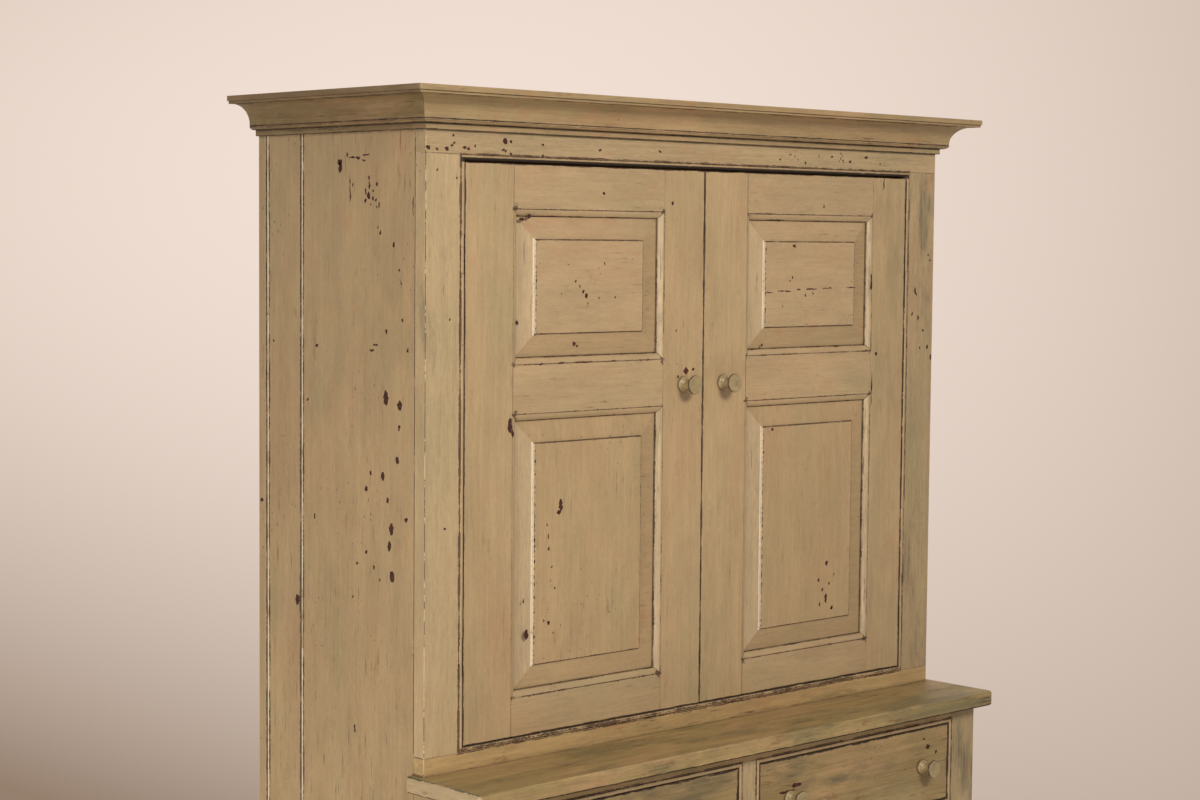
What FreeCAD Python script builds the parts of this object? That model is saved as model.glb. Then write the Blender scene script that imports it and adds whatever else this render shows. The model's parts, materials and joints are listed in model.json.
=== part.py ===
import FreeCAD, Part
import Sketcher
import os
import re

# Step back cupboard, in millimetres. X runs to the viewer's right, Y to the back, Z up.
# The origin is on the floor, in the middle of the whole outline, and the doors face -Y.

os.makedirs("parts", exist_ok=True)
doc = FreeCAD.newDocument("step_back_cupboard")

# Driving sizes. Each one is a cell of the sheet, with its name as alias.
sizes = {
    # whole cupboard
    "case_width": 1220,        # outside of the side boards, upper and lower
    "upper_depth": 433,        # face of the upper frame to the outside of the back
    "step_depth": 149,         # front edge of the waist shelf to the upper frame
    "waist_height": 860,       # floor to the top of the waist shelf
    "upper_height": 1053,      # waist shelf to the top of the cap board
    # stock
    "frame_thick": 25,
    "side_thick": 22,
    "back_thick": 22,
    "board_thick": 20,         # inner floors and shelves of the lower case
    "dado_depth": 6,           # housing of shelves and floors in the sides
    "hair": 0.3,               # running gap between moving pieces
    # sides and back
    "rear_board": 94,          # width of the rear board of each side
    "seam_chamfer": 1.5,
    "foot_wide": 54,
    "foot_rise": 60,           # height and radius of the arch between the feet
    "plank_count": 8,
    "plank_tongue": 8,
    "plank_tongue_thick": 6,
    # waist shelf
    "waist_thick": 26,
    "waist_overhang": 35,      # past the lower frame
    "waist_horn": 13,          # past each side
    "waist_corner": 9,
    "waist_nose": 2.5,
    # cornice
    "cap_thick": 8.5,
    "cap_reach": 62,           # past the case on the front and both sides
    "cap_corner": 4,
    "crown_reach": 59,
    "crown_drop": 54.5,        # under the cap board
    "crown_lip": 4.3,
    "cove_top_reach": 48,
    "cove_foot_reach": 18,
    "cove_foot_drop": 38.2,
    "cove_radius": 32,
    "ovolo_top_drop": 41,
    "ovolo_foot_drop": 45,
    "ovolo_foot_reach": 9,
    "ovolo_radius": 11,
    "frieze_reach": 6,
    # upper face frame, round one wide opening
    "upper_stile_left": 69,
    "upper_stile_right": 75,
    "upper_rail_low": 28.5,
    "upper_opening": 926,
    # bead planted round each opening
    "bead_wide": 8,
    "bead_proud": 1.5,
    "bead_quirk": 0.8,         # from the frame face back to the start of the nose
    "bead_depth": 20,
    # lower face frame
    "lower_stile": 66,
    "lower_top_rail": 19,
    "drawer_opening": 141,
    "drawer_rail": 30,
    "drawer_rail_depth": 60,
    "mullion_wide": 35,
    "base_rail_top": 110,
    "bracket_radius": 50,
    "bracket_wide": 30,
    # mortises and tenons
    "tenon_thick": 8,
    "tenon_front": 8,          # from the face of the piece to its tenon
    "tenon_long": 50,
    "tenon_short": 12,
    "tenon_shoulder": 10,
    "rail_shoulder": 3,
    # doors
    "door_thick": 24,
    "door_back": 0.5,          # door face behind the frame face
    "door_gap": 1.5,
    "door_top_gap": 4,
    "lower_top_gap": 3,
    "meeting_gap": 2,
    "upper_rail_long": 333,    # between the stiles of an upper door
    "hinge_stile_left": 99,
    "lock_stile_left": 94,
    "lock_stile_right": 105,
    "hinge_stile_right": 91,
    "upper_door_foot": 62,     # bottom rail
    "low_panel_opening": 450,
    "lock_rail": 78.5,
    "high_panel_opening": 244,
    "lower_door_stile": 96,
    "lower_door_foot": 75,
    "lower_door_head": 70,
    # moulded edge, groove and raised panel
    "mould_wide": 11,
    "mould_quirk": 1,
    "mould_drop": 7.5,
    "mould_radius": 13,
    "cut_past": 1.1,           # a cut's reach past the edge that it shapes
    "groove_front": 9,
    "groove_wide": 6,
    "groove_deep": 9,
    "panel_tongue": 8,
    "panel_play": 0.25,
    "panel_rim": 0.5,
    "panel_bevel": 36.5,
    "bevel_front": 4.5,
    "field_front": 2,
    # knobs
    "knob_inset": 47,          # from the meeting edge of the door
    "knob_height": 585,        # over the waist shelf
    "drawer_knob_inset": 75,
    "knob_head": 16,           # radius
    "knob_front": 31,
    "knob_rim_back": 27,
    "knob_neck": 7.5,
    "knob_neck_front": 19,
    "knob_base": 12.8,
    "knob_base_front": 4.5,
    # diamond peg over the left knob
    "peg_half": 6.5,           # centre to corner
    "peg_inset": 40,
    "peg_over_knob": 22,
    "peg_deep": 6,
    # butt hinges in line with the beads
    "hinge_long": 60,
    "barrel": 3.7,             # radius
    "pin": 1.8,                # radius
    "pin_play": 0.05,
    "knuckle": 20,
    "knuckle_play": 0.15,
    "leaf_back": 17,           # from the pin's axis to the far edge of a leaf
    "leaf_start": 4.5,
    "frame_leaf_thick": 1.8,
    "door_leaf_thick": 2,
    "leaf_gap": 0.4,
    "web_back": 3.6,
    "upper_hinge_low": 110,
    "upper_hinge_high": 734,
    "lower_hinge_low": 70,
    "lower_hinge_high": 367,
    # drawers
    "drawer_gap": 1.5,
    "drawer_height": 138,
    "drawer_front_thick": 22,
    "drawer_long": 400,
    "drawer_side_thick": 12,
    "drawer_side_height": 134,
    "drawer_lap": 8,           # wood left in front of the tails
    "drawer_floor_thick": 8,
    "drawer_floor_rise": 9.5,
    "drawer_floor_groove": 6,
    "tail_pitch": 46,
    "tail_root": 14,           # half width at the shoulder
    "tail_tip": 16,            # half width at the end
    "tail_count": 3,
    "runner_thick": 22,
    "runner_wide": 78,
    "stop_wide": 40,
    "stop_deep": 12,
    "stop_rise": 6,
    "stop_inset": 110,
    # floors, shelves and stops
    "upper_shelf_low": 310,
    "upper_shelf_high": 635,
    "upper_shelf_back": 31,    # from the upper frame face to the shelf
    "lower_shelf": 355,        # floor to the top of the lower shelf
    "lower_shelf_back": 40,
    "door_stop": 15,
    "door_stop_tall": 16,
}

# Places worked out from the sizes.
places = {
    "half_width": "case_width / 2",
    "inside_half": "half_width - side_thick",
    "housed_half": "inside_half + dado_depth",
    "front_edge": "-(step_depth + upper_depth) / 2",
    "back_outside": "(step_depth + upper_depth) / 2",
    "back_inside": "back_outside - back_thick",
    "upper_face": "front_edge + step_depth",
    "upper_inside": "upper_face + frame_thick",
    "lower_face": "front_edge + waist_overhang",
    "lower_inside": "lower_face + frame_thick",
    "rear_seam": "back_inside - rear_board",
    "top": "waist_height + upper_height",
    "cap_low": "top - cap_thick",
    "waist_low": "waist_height - waist_thick",
    "upper_low": "waist_height + upper_rail_low",
    "upper_high": "upper_low + upper_opening",
    "upper_left": "upper_stile_left - half_width",
    "upper_right": "half_width - upper_stile_right",
    "lower_half": "half_width - lower_stile",
    "mullion_half": "mullion_wide / 2",
    "drawers_high": "waist_low - lower_top_rail",
    "drawers_low": "drawers_high - 2 * bead_wide - drawer_opening",
    "cupboard_high": "drawers_low - drawer_rail",
    "drawer_floor_z": "drawers_low + bead_wide + drawer_gap",
    "drawer_wide": "lower_half - mullion_half - 2 * bead_wide - 2 * drawer_gap",
    "drawer_back_z": "drawer_floor_rise + drawer_floor_thick",
    "runner_top": "drawer_floor_z - hair",
    "upper_door_z": "upper_low + bead_wide + door_gap",
    "upper_door_height": "upper_opening - 2 * bead_wide - door_gap - door_top_gap",
    "lock_low": "upper_door_foot + low_panel_opening",
    "lock_high": "lock_low + lock_rail",
    "head_low": "lock_high + high_panel_opening",
    "lower_door_z": "base_rail_top + bead_wide + door_gap",
    "lower_door_height": "cupboard_high - base_rail_top - 2 * bead_wide - door_gap - lower_top_gap",
    "lower_door_wide": "lower_half - bead_wide - door_gap - meeting_gap / 2",
    "lower_rail_long": "lower_door_wide - 2 * lower_door_stile",
    "lower_head_low": "lower_door_height - lower_door_head",
    "axis_back": "bead_wide / 2 - bead_proud",
    "bead_rise": "bead_proud + bead_quirk",
    "bead_nose": "((bead_wide / 2) ^ 2 + bead_rise ^ 2) / (2 * bead_rise)",
    "axis_to_bead": "bead_wide / 2",
    "axis_to_door": "bead_wide / 2 + door_gap",
    "door_leaf_near": "axis_to_bead + leaf_gap",
    "door_leaf_far": "door_leaf_near + door_leaf_thick",
    "notch_floor": "axis_back + leaf_start",
    "crown_foot": "cap_low - crown_drop",
}

sheet = doc.addObject("Spreadsheet::Sheet", "Sizes")
for row, (name, size) in enumerate(sizes.items(), start=1):
    sheet.set(f"A{row}", name)
    sheet.set(f"B{row}", str(size))
    sheet.setAlias(f"B{row}", name)
doc.recompute()

nodes = []
word = re.compile(r"[a-z][a-z_]*")
near_enough = 0.01


def cells(text):
    """Turn the names of sizes and places in an expression into cells of the sheet."""
    def swap(match):
        name = match.group(0)
        if name in places:
            return "(" + cells(places[name]) + ")"
        return "Sizes." + name
    return word.sub(swap, str(text))


def value(text):
    return float(sheet.evalExpression(cells(text)))


def node(piece):
    nodes.append(piece)
    return piece


def group(label, pieces):
    """Identical or paired pieces that share one node as separate solids."""
    compound = doc.addObject("Part::Compound", label)
    compound.Label = label
    compound.Links = pieces
    return node(compound)


def box(label, x, y, z):
    """A plain board between two places on each axis."""
    piece = doc.addObject("Part::Box", label)
    piece.Label = label
    for side, axis, (low, high) in zip(("Length", "Width", "Height"), "xyz", (x, y, z)):
        piece.setExpression(side, cells(f"({high}) - ({low})"))
        piece.setExpression(f"Placement.Base.{axis}", cells(low))
    return piece


def body(label, x="0", y="0", z="0"):
    piece = doc.addObject("PartDesign::Body", label)
    piece.Label = label
    for axis, place in zip("xyz", (x, y, z)):
        piece.setExpression(f"Placement.Base.{axis}", cells(place))
    return piece


def sketch(piece, plane, outlines, offset="0"):
    """Closed outlines on an origin plane of the body, every corner held by the sheet.

    A corner is (u, v), or (u, v, radius, hint) where an arc that bulges to the hint follows it.
    """
    drawn = piece.newObject("Sketcher::SketchObject", "outline")
    origin = next(f for f in piece.Origin.OriginFeatures if f.Role == plane + "_Plane")
    drawn.AttachmentSupport = (origin, [""])
    drawn.MapMode = "FlatFace"
    drawn.setExpression("AttachmentOffset.Base.z", cells(offset))
    for outline in outlines:
        trace(drawn, outline)
    return drawn


def trace(drawn, outline):
    points = [FreeCAD.Vector(value(c[0]), value(c[1]), 0) for c in outline]
    edges = []
    for number, corner in enumerate(outline):
        start = points[number]
        end = points[(number + 1) % len(points)]
        if len(corner) == 2:
            edge = drawn.addGeometry(Part.LineSegment(start, end), False)
            edges.append((edge, 1, 2))
            continue
        radius = value(corner[2])
        hint = FreeCAD.Vector(value(corner[3][0]), value(corner[3][1]), 0)
        middle = (start + end) / 2
        across = FreeCAD.Vector(start.y - end.y, end.x - start.x, 0).normalize()
        if across.dot(hint - middle) < 0:
            across = -across
        half = start.distanceToPoint(end) / 2
        rise = radius - max(radius ** 2 - half ** 2, 0) ** 0.5
        edge = drawn.addGeometry(Part.Arc(start, middle + across * rise, end), False)
        first = 1 if drawn.getPoint(edge, 1).distanceToPoint(start) < 0.001 else 2
        edges.append((edge, first, 3 - first))
        held = drawn.addConstraint(Sketcher.Constraint("Radius", edge, radius))
        drawn.setExpression(f"Constraints[{held}]", cells(corner[2]))
    for number, (edge, first, last) in enumerate(edges):
        after = edges[(number + 1) % len(edges)]
        drawn.addConstraint(Sketcher.Constraint("Coincident", edge, last, after[0], after[1]))
        for kind, place in zip(("DistanceX", "DistanceY"), outline[number][:2]):
            held = Sketcher.Constraint(kind, -1, 1, edge, first, value(place))
            held = drawn.addConstraint(held)
            drawn.setExpression(f"Constraints[{held}]", cells(place))


def circle(drawn, across, up, radius):
    spot = FreeCAD.Vector(value(across), value(up), 0)
    ring = drawn.addGeometry(Part.Circle(spot, FreeCAD.Vector(0, 0, 1), value(radius)), False)
    held = (
        (Sketcher.Constraint("DistanceX", -1, 1, ring, 3, spot.x), across),
        (Sketcher.Constraint("DistanceY", -1, 1, ring, 3, spot.y), up),
        (Sketcher.Constraint("Radius", ring, value(radius)), radius),
    )
    for constraint, place in held:
        number = drawn.addConstraint(constraint)
        drawn.setExpression(f"Constraints[{number}]", cells(place))


def rectangle(u, v):
    return [(u[0], v[0]), (u[1], v[0]), (u[1], v[1]), (u[0], v[1])]


def pad(piece, drawn, length, forward=True):
    """Extrude along the plane's own normal, or against it."""
    feature = piece.newObject("PartDesign::Pad", "pad")
    feature.Profile = drawn
    feature.setExpression("Length", cells(length))
    feature.Reversed = not forward
    return feature


def pocket(piece, drawn, length=None, forward=False):
    """Cut against the plane's own normal, or along it; through all without a length."""
    feature = piece.newObject("PartDesign::Pocket", "pocket")
    feature.Profile = drawn
    feature.Reversed = forward
    if length is None:
        feature.Type = "ThroughAll"
    else:
        feature.setExpression("Length", cells(length))
    return feature


def pattern(piece, feature, drawn, pitch, count):
    """Repeat a feature up the sketch's vertical axis."""
    row = piece.newObject("PartDesign::LinearPattern", "row")
    row.Originals = [feature]
    row.Direction = (drawn, ["V_Axis"])
    row.setExpression("Length", cells(f"({pitch}) * {count - 1}"))
    row.Occurrences = count
    piece.Tip = row
    return row


def edges_of(base, wanted):
    """The edges of a feature whose two ends pass the test."""
    doc.recompute()
    names = []
    for number, edge in enumerate(base.Shape.Edges, start=1):
        ends = [vertex.Point for vertex in edge.Vertexes]
        if wanted(ends[0], ends[-1]):
            names.append(f"Edge{number}")
    return base, names


def round_corners(piece, base, radius, front):
    """Round the upright edges at the front of a board."""
    limit = value(front) + near_enough
    feature = piece.newObject("PartDesign::Fillet", "rounding")
    feature.Base = edges_of(
        base,
        lambda start, end: abs(start.z - end.z) > near_enough and max(start.y, end.y) < limit,
    )
    feature.setExpression("Radius", cells(radius))
    return feature


def mirrored(side, text):
    return f"{side} * ({text})"


# Sides

housing_heights = {
    "main": (
        ("waist_low", "waist_height"),
        ("waist_height + upper_shelf_low", "waist_height + upper_shelf_low + board_thick"),
        ("waist_height + upper_shelf_high", "waist_height + upper_shelf_high + board_thick"),
        ("base_rail_top - board_thick", "base_rail_top"),
        ("lower_shelf - board_thick", "lower_shelf"),
    ),
    "lower": (
        ("base_rail_top - board_thick", "base_rail_top"),
        ("lower_shelf - board_thick", "lower_shelf"),
    ),
}


def side_board(label, side, outline, housings, seams):
    """One upright board of a case side, its housings cut from the inside."""
    piece = body(label, x=mirrored(side, "half_width"))
    pad(piece, sketch(piece, "YZ", [outline]), "side_thick", forward=side < 0)
    cuts = sketch(piece, "YZ", housings, offset=mirrored(-side, "side_thick"))
    pocket(piece, cuts, "dado_depth", forward=side > 0)
    for edge, inward in seams:
        corner = [
            ("0", edge),
            ("0", f"({edge}) + {inward} * seam_chamfer"),
            (mirrored(-side, "seam_chamfer"), edge),
        ]
        pocket(piece, sketch(piece, "XY", [corner]), forward=True)
    return piece


def side(name, direction):
    main_low, main_high = "upper_inside", "rear_seam"
    shelves = [rectangle((main_low, main_high), z) for z in housing_heights["main"]]
    front_of_shelf = "upper_face + upper_shelf_back"
    shelves[1] = rectangle((front_of_shelf, main_high), housing_heights["main"][1])
    shelves[2] = rectangle((front_of_shelf, main_high), housing_heights["main"][2])
    outline = rectangle((main_low, main_high), ("foot_rise", "cap_low"))
    seams = [("rear_seam", -1)]
    node(side_board(f"side_{name}_main_board", direction, outline, shelves, seams))

    rear = ("rear_seam", "back_inside")
    shelves = [rectangle(rear, z) for z in housing_heights["main"]]
    outline = [
        ("rear_seam", "foot_rise", "foot_rise", ("rear_seam + foot_rise", "foot_rise")),
        ("rear_seam + foot_rise", "0"),
        ("back_inside", "0"),
        ("back_inside", "cap_low"),
        ("rear_seam", "cap_low"),
    ]
    seams = [("rear_seam", 1), ("back_inside", -1)]
    node(side_board(f"side_{name}_rear_board", direction, outline, shelves, seams))

    lower = ("lower_inside", "upper_inside")
    shelves = [
        rectangle(lower, housing_heights["lower"][0]),
        rectangle(("lower_inside + lower_shelf_back", lower[1]), housing_heights["lower"][1]),
    ]
    outline = [
        ("lower_inside", "0"),
        ("lower_inside + foot_wide", "0", "foot_rise", ("lower_inside + foot_wide", "foot_rise")),
        ("upper_inside", "foot_rise"),
        ("upper_inside", "waist_low"),
        ("lower_inside", "waist_low"),
    ]
    node(side_board(f"side_{name}_lower_board", direction, outline, shelves, []))


side("left", -1)
side("right", 1)

# Back


def plank(number, count):
    """A tongued and grooved back plank, its tongue to the left and its groove to the right."""
    left = f"case_width * {number} / {count} - half_width"
    right = f"case_width * {number + 1} / {count} - half_width"
    tongue = (
        "back_inside + (back_thick - plank_tongue_thick) / 2",
        "back_inside + (back_thick + plank_tongue_thick) / 2",
    )
    outline = [(left, "back_inside"), (right, "back_inside")]
    if number < count - 1:
        outline += [
            (right, tongue[0]),
            (f"{right} - plank_tongue", tongue[0]),
            (f"{right} - plank_tongue", tongue[1]),
            (right, tongue[1]),
        ]
    outline += [(right, "back_outside"), (left, "back_outside")]
    if number > 0:
        outline += [
            (left, tongue[1]),
            (f"{left} - plank_tongue", tongue[1]),
            (f"{left} - plank_tongue", tongue[0]),
            (left, tongue[0]),
        ]
    piece = body(f"plank_{number + 1}", z="foot_rise")
    pad(piece, sketch(piece, "XY", [outline]), "cap_low - foot_rise")
    return piece


plank_count = int(value("plank_count"))
group("back_planks", [plank(number, plank_count) for number in range(plank_count)])

# Cornice


def crown_outline(outward):
    """Section of the crown moulding: lip, cove, ovolo and frieze strip, top to bottom."""
    def across(reach):
        return mirrored(outward, reach)
    return [
        ("0", "cap_low"),
        (across("crown_reach"), "cap_low"),
        (across("crown_reach"), "cap_low - crown_lip"),
        (
            across("cove_top_reach"), "cap_low - crown_lip", "cove_radius",
            (across("cove_foot_reach"), "cap_low"),
        ),
        (across("cove_foot_reach"), "cap_low - cove_foot_drop"),
        (
            across("cove_foot_reach"), "cap_low - ovolo_top_drop", "ovolo_radius",
            (across("cove_foot_reach"), "cap_low - ovolo_foot_drop"),
        ),
        (across("ovolo_foot_reach"), "cap_low - ovolo_foot_drop"),
        (across("frieze_reach"), "cap_low - ovolo_foot_drop"),
        (across("frieze_reach"), "crown_foot"),
        ("0", "crown_foot"),
    ]


def crown_front():
    piece = body("crown_front", y="upper_face")
    end = "half_width + crown_reach"
    section = sketch(piece, "YZ", [crown_outline(-1)], offset=f"-({end})")
    pad(piece, section, f"2 * ({end})")
    for direction in (-1, 1):
        corner = [
            (mirrored(direction, "half_width"), "0"),
            (mirrored(direction, end), "0"),
            (mirrored(direction, end), "-crown_reach"),
        ]
        pocket(piece, sketch(piece, "XY", [corner]), forward=True)
    return piece


def crown_side(name, direction):
    piece = body(f"crown_{name}", x=mirrored(direction, "half_width"))
    front = "upper_face - crown_reach"
    section = sketch(piece, "XZ", [crown_outline(direction)], offset=f"-({front})")
    pad(piece, section, f"back_outside - ({front})", forward=False)
    corner = [
        ("0", "upper_face"),
        ("0", front),
        (mirrored(direction, "crown_reach"), front),
    ]
    pocket(piece, sketch(piece, "XY", [corner]), forward=True)
    return piece


def cap_board():
    piece = body("cap_board", z="cap_low")
    half = "half_width + cap_reach"
    front = "upper_face - cap_reach"
    outline = rectangle((f"-({half})", half), (front, "back_outside"))
    base = pad(piece, sketch(piece, "XY", [outline]), "cap_thick")
    round_corners(piece, base, "cap_corner", front)
    return piece


node(crown_front())
node(crown_side("left", -1))
node(crown_side("right", 1))
node(cap_board())

# Face frames


def member(label, face, x, z, deep="frame_thick", spine=None, mortises=()):
    """A frame piece, with one spine through it that ends in its tenons."""
    piece = body(label, y=face)
    pad(piece, sketch(piece, "XZ", [rectangle(x, z)]), deep, forward=False)
    if spine:
        drawn = sketch(piece, "XZ", [rectangle(*spine)], offset="-tenon_front")
        pad(piece, drawn, "tenon_thick", forward=False)
    if mortises:
        drawn = sketch(piece, "XZ", [rectangle(*spot) for spot in mortises], offset="-tenon_front")
        pocket(piece, drawn, "tenon_thick")
    return node(piece)


def upper_frame():
    """Two stiles tenoned into full-width rails."""
    inset = "tenon_shoulder"
    spines = {
        "left": (f"-half_width + {inset}", f"upper_left - {inset}"),
        "right": (f"upper_right + {inset}", f"half_width - {inset}"),
    }
    low_tenon = ("upper_low - tenon_short", "upper_low")
    high_tenon = ("upper_high", "upper_high + tenon_long")
    full = ("-half_width", "half_width")
    whole = ("upper_low - tenon_short", "upper_high + tenon_long")
    stiles = {"left": ("-half_width", "upper_left"), "right": ("upper_right", "half_width")}
    for name, across in stiles.items():
        spine = (spines[name], whole)
        member(f"upper_stile_{name}", "upper_face", across, ("upper_low", "upper_high"), spine=spine)
    member(
        "upper_bottom_rail", "upper_face", full, ("waist_low", "upper_low"),
        mortises=[(spines[name], low_tenon) for name in spines],
    )
    member(
        "upper_top_rail", "upper_face", full, ("upper_high", "cap_low"),
        mortises=[(spines[name], high_tenon) for name in spines],
    )


def bracket_rail():
    """Base rail with a quarter-round bracket beside each foot."""
    piece = body("base_rail", y="lower_face")
    half = "lower_half"
    knee = "lower_half - bracket_wide"
    flat = "lower_half - bracket_wide - bracket_radius"
    outline = [
        (f"-({half})", "base_rail_top"),
        (f"-({half})", "0"),
        (f"-({knee})", "0", "bracket_radius", (f"-({knee})", "bracket_radius")),
        (f"-({flat})", "bracket_radius"),
        (flat, "bracket_radius", "bracket_radius", (knee, "bracket_radius")),
        (knee, "0"),
        (half, "0"),
        (half, "base_rail_top"),
    ]
    pad(piece, sketch(piece, "XZ", [outline]), "frame_thick", forward=False)
    reach = "lower_half + tenon_long - tenon_shoulder"
    spine = rectangle((f"-({reach})", reach), base_tenon)
    pad(piece, sketch(piece, "XZ", [spine], offset="-tenon_front"), "tenon_thick", forward=False)
    return node(piece)


base_tenon = ("bracket_radius + tenon_shoulder", "base_rail_top - tenon_shoulder")


def lower_frame():
    """Stiles that run to the floor as feet, with the rails tenoned into them."""
    reach = "lower_half + tenon_long - tenon_shoulder"
    heights = {
        "lower_top_rail": ("drawers_high", "waist_low"),
        "drawer_rail": ("cupboard_high", "drawers_low"),
    }
    tenons = {
        name: (f"{z[0]} + rail_shoulder", f"{z[1]} - rail_shoulder") for name, z in heights.items()
    }
    sockets = [*tenons.values(), base_tenon]
    for name, direction in (("left", -1), ("right", 1)):
        across = [mirrored(direction, "lower_half"), mirrored(direction, "half_width")]
        socket = [mirrored(direction, "lower_half"), mirrored(direction, reach)]
        mortises = [(socket[::direction], z) for z in sockets]
        member(
            f"lower_stile_{name}", "lower_face", across[::direction], ("0", "waist_low"),
            mortises=mortises,
        )
    mullion_x = ("-mullion_half", "mullion_half")
    mullion_spine = ("rail_shoulder - mullion_half", "mullion_half - rail_shoulder")
    high_end = ("drawers_high", "drawers_high + tenon_short")
    low_end = ("drawers_low - tenon_short", "drawers_low")
    ends = {"lower_top_rail": high_end, "drawer_rail": low_end}
    depths = {"lower_top_rail": "frame_thick", "drawer_rail": "drawer_rail_depth"}
    for name, z in heights.items():
        member(
            name, "lower_face", ("-lower_half", "lower_half"), z, deep=depths[name],
            spine=((f"-({reach})", reach), tenons[name]),
            mortises=[(mullion_spine, ends[name])],
        )
    member(
        "drawer_mullion", "lower_face", mullion_x, ("drawers_low", "drawers_high"),
        spine=(mullion_spine, (low_end[0], high_end[1])),
    )
    bracket_rail()


upper_frame()
lower_frame()

# Beads round the openings


def swapped(corner):
    """The same corner with its two directions exchanged, an arc's hint included."""
    turned = (corner[1], corner[0])
    if len(corner) == 4:
        turned += (corner[2], (corner[3][1], corner[3][0]))
    return turned


def bead_strip(label, face, across, along, upright):
    """A strip with a half-round nose; across runs from its outer edge to its inner edge."""
    outer, inner = across
    start, end = along
    section = [
        (outer, "bead_quirk", "bead_nose", (outer, "-bead_proud")),
        (inner, "bead_quirk"),
        (inner, "bead_depth"),
        (outer, "bead_depth"),
    ]
    mitres = [
        [(inner, start), (outer, start), (inner, f"{start} + bead_wide")],
        [(inner, end), (outer, end), (inner, f"{end} - bead_wide")],
    ]
    plane = "XY"
    if not upright:
        plane = "YZ"
        section = [swapped(corner) for corner in section]
        mitres = [[swapped(corner) for corner in mitre] for mitre in mitres]
    piece = body(label, y=face)
    pad(piece, sketch(piece, plane, [section], offset=start), f"{end} - ({start})")
    pocket(piece, sketch(piece, "XZ", mitres, offset="bead_proud"))
    return piece


def hinge_notches(piece, across, bottoms):
    """Room in an upright bead for hinge barrels, and shallow seats for their leaves."""
    outer, inner = across
    barrels = []
    seats = []
    seat = f"{inner} + ({outer} - ({inner})) * frame_leaf_thick / bead_wide"
    for bottom in bottoms:
        end = f"{bottom} + hinge_long"
        barrels.append(rectangle(across, (f"{bottom} - hair", f"{end} + hair")))
        seats.append(rectangle((seat, inner), (bottom, end)))
    drawn = sketch(piece, "XZ", barrels, offset="bead_proud")
    pocket(piece, drawn, "bead_proud + notch_floor")
    drawn = sketch(piece, "XZ", seats, offset="bead_proud")
    pocket(piece, drawn, "bead_proud + axis_back + leaf_back")


def bead_ring(label, face, x, z, hinge_bottoms=()):
    """Four mitred strips inside an opening of a frame."""
    edges = {
        "low": ((z[0], f"{z[0]} + bead_wide"), x),
        "high": ((z[1], f"{z[1]} - bead_wide"), x),
        "left": ((x[0], f"{x[0]} + bead_wide"), z),
        "right": ((x[1], f"{x[1]} - bead_wide"), z),
    }
    strips = []
    for name, (across, along) in edges.items():
        upright = along == z
        strip = bead_strip(f"{label}_{name}", face, across, along, upright)
        if upright and hinge_bottoms:
            hinge_notches(strip, across, hinge_bottoms)
        strips.append(strip)
    return strips


upper_hinges = ("upper_door_z + upper_hinge_low", "upper_door_z + upper_hinge_high")
lower_hinges = ("lower_door_z + lower_hinge_low", "lower_door_z + lower_hinge_high")
ring = bead_ring(
    "upper_bead", "upper_face", ("upper_left", "upper_right"), ("upper_low", "upper_high"),
    upper_hinges,
)
group("upper_opening_beads", ring)
drawer_heights = ("drawers_low", "drawers_high")
rings = bead_ring("drawer_bead_left", "lower_face", ("-lower_half", "-mullion_half"), drawer_heights)
rings += bead_ring("drawer_bead_right", "lower_face", ("mullion_half", "lower_half"), drawer_heights)
rings += bead_ring(
    "cupboard_bead", "lower_face", ("-lower_half", "lower_half"), ("base_rail_top", "cupboard_high"),
    lower_hinges,
)
group("lower_opening_beads", rings)

# Hinges


def round_bar(piece, radii, bottom, tall):
    """An upright round bar on the body's axis, or a tube where there are two radii."""
    drawn = sketch(piece, "XY", [], offset=bottom)
    for radius in radii:
        circle(drawn, "0", "0", radius)
    pad(piece, drawn, tall)


def frame_leaf(label, x, face, bottom, side):
    """Fixed leaf with the two outer knuckles and the pin fast in them; side is the way to the door."""
    piece = body(label, x=x, y=f"{face} + axis_back", z=bottom)
    round_bar(piece, ["barrel"], "0", "hinge_long")
    near = mirrored(side, "axis_to_bead - frame_leaf_thick")
    far = mirrored(side, "axis_to_bead")
    pad(piece, sketch(piece, "XY", [rectangle((near, far), ("0", "leaf_back"))]), "hinge_long")
    clear = "axis_to_bead + hair"
    window = rectangle((f"-({clear})", clear), (f"-({clear})", "leaf_start"))
    start = "knuckle - knuckle_play"
    tall = "knuckle + 2 * knuckle_play"
    pocket(piece, sketch(piece, "XY", [window], offset=start), tall, forward=True)
    round_bar(piece, ["pin"], start, tall)
    return piece


def door_leaf(label, x, face, bottom, side):
    """Moving leaf with the middle knuckle, which turns on the pin."""
    piece = body(label, x=x, y=f"{face} + axis_back", z=bottom)
    near = mirrored(side, "door_leaf_near")
    far = mirrored(side, "door_leaf_far")
    root = mirrored(side, "axis_to_bead - frame_leaf_thick")
    plate = rectangle((near, far), ("leaf_start", "leaf_back"))
    pad(piece, sketch(piece, "XY", [plate]), "hinge_long")
    web = [
        (root, "0"), (far, "0"), (far, "leaf_start"),
        (near, "leaf_start"), (near, "web_back"), (root, "web_back"),
    ]
    start = "knuckle + knuckle_play"
    tall = "knuckle - 2 * knuckle_play"
    pad(piece, sketch(piece, "XY", [web], offset=start), tall)
    round_bar(piece, ["barrel", "pin + pin_play"], start, tall)
    return piece


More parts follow.
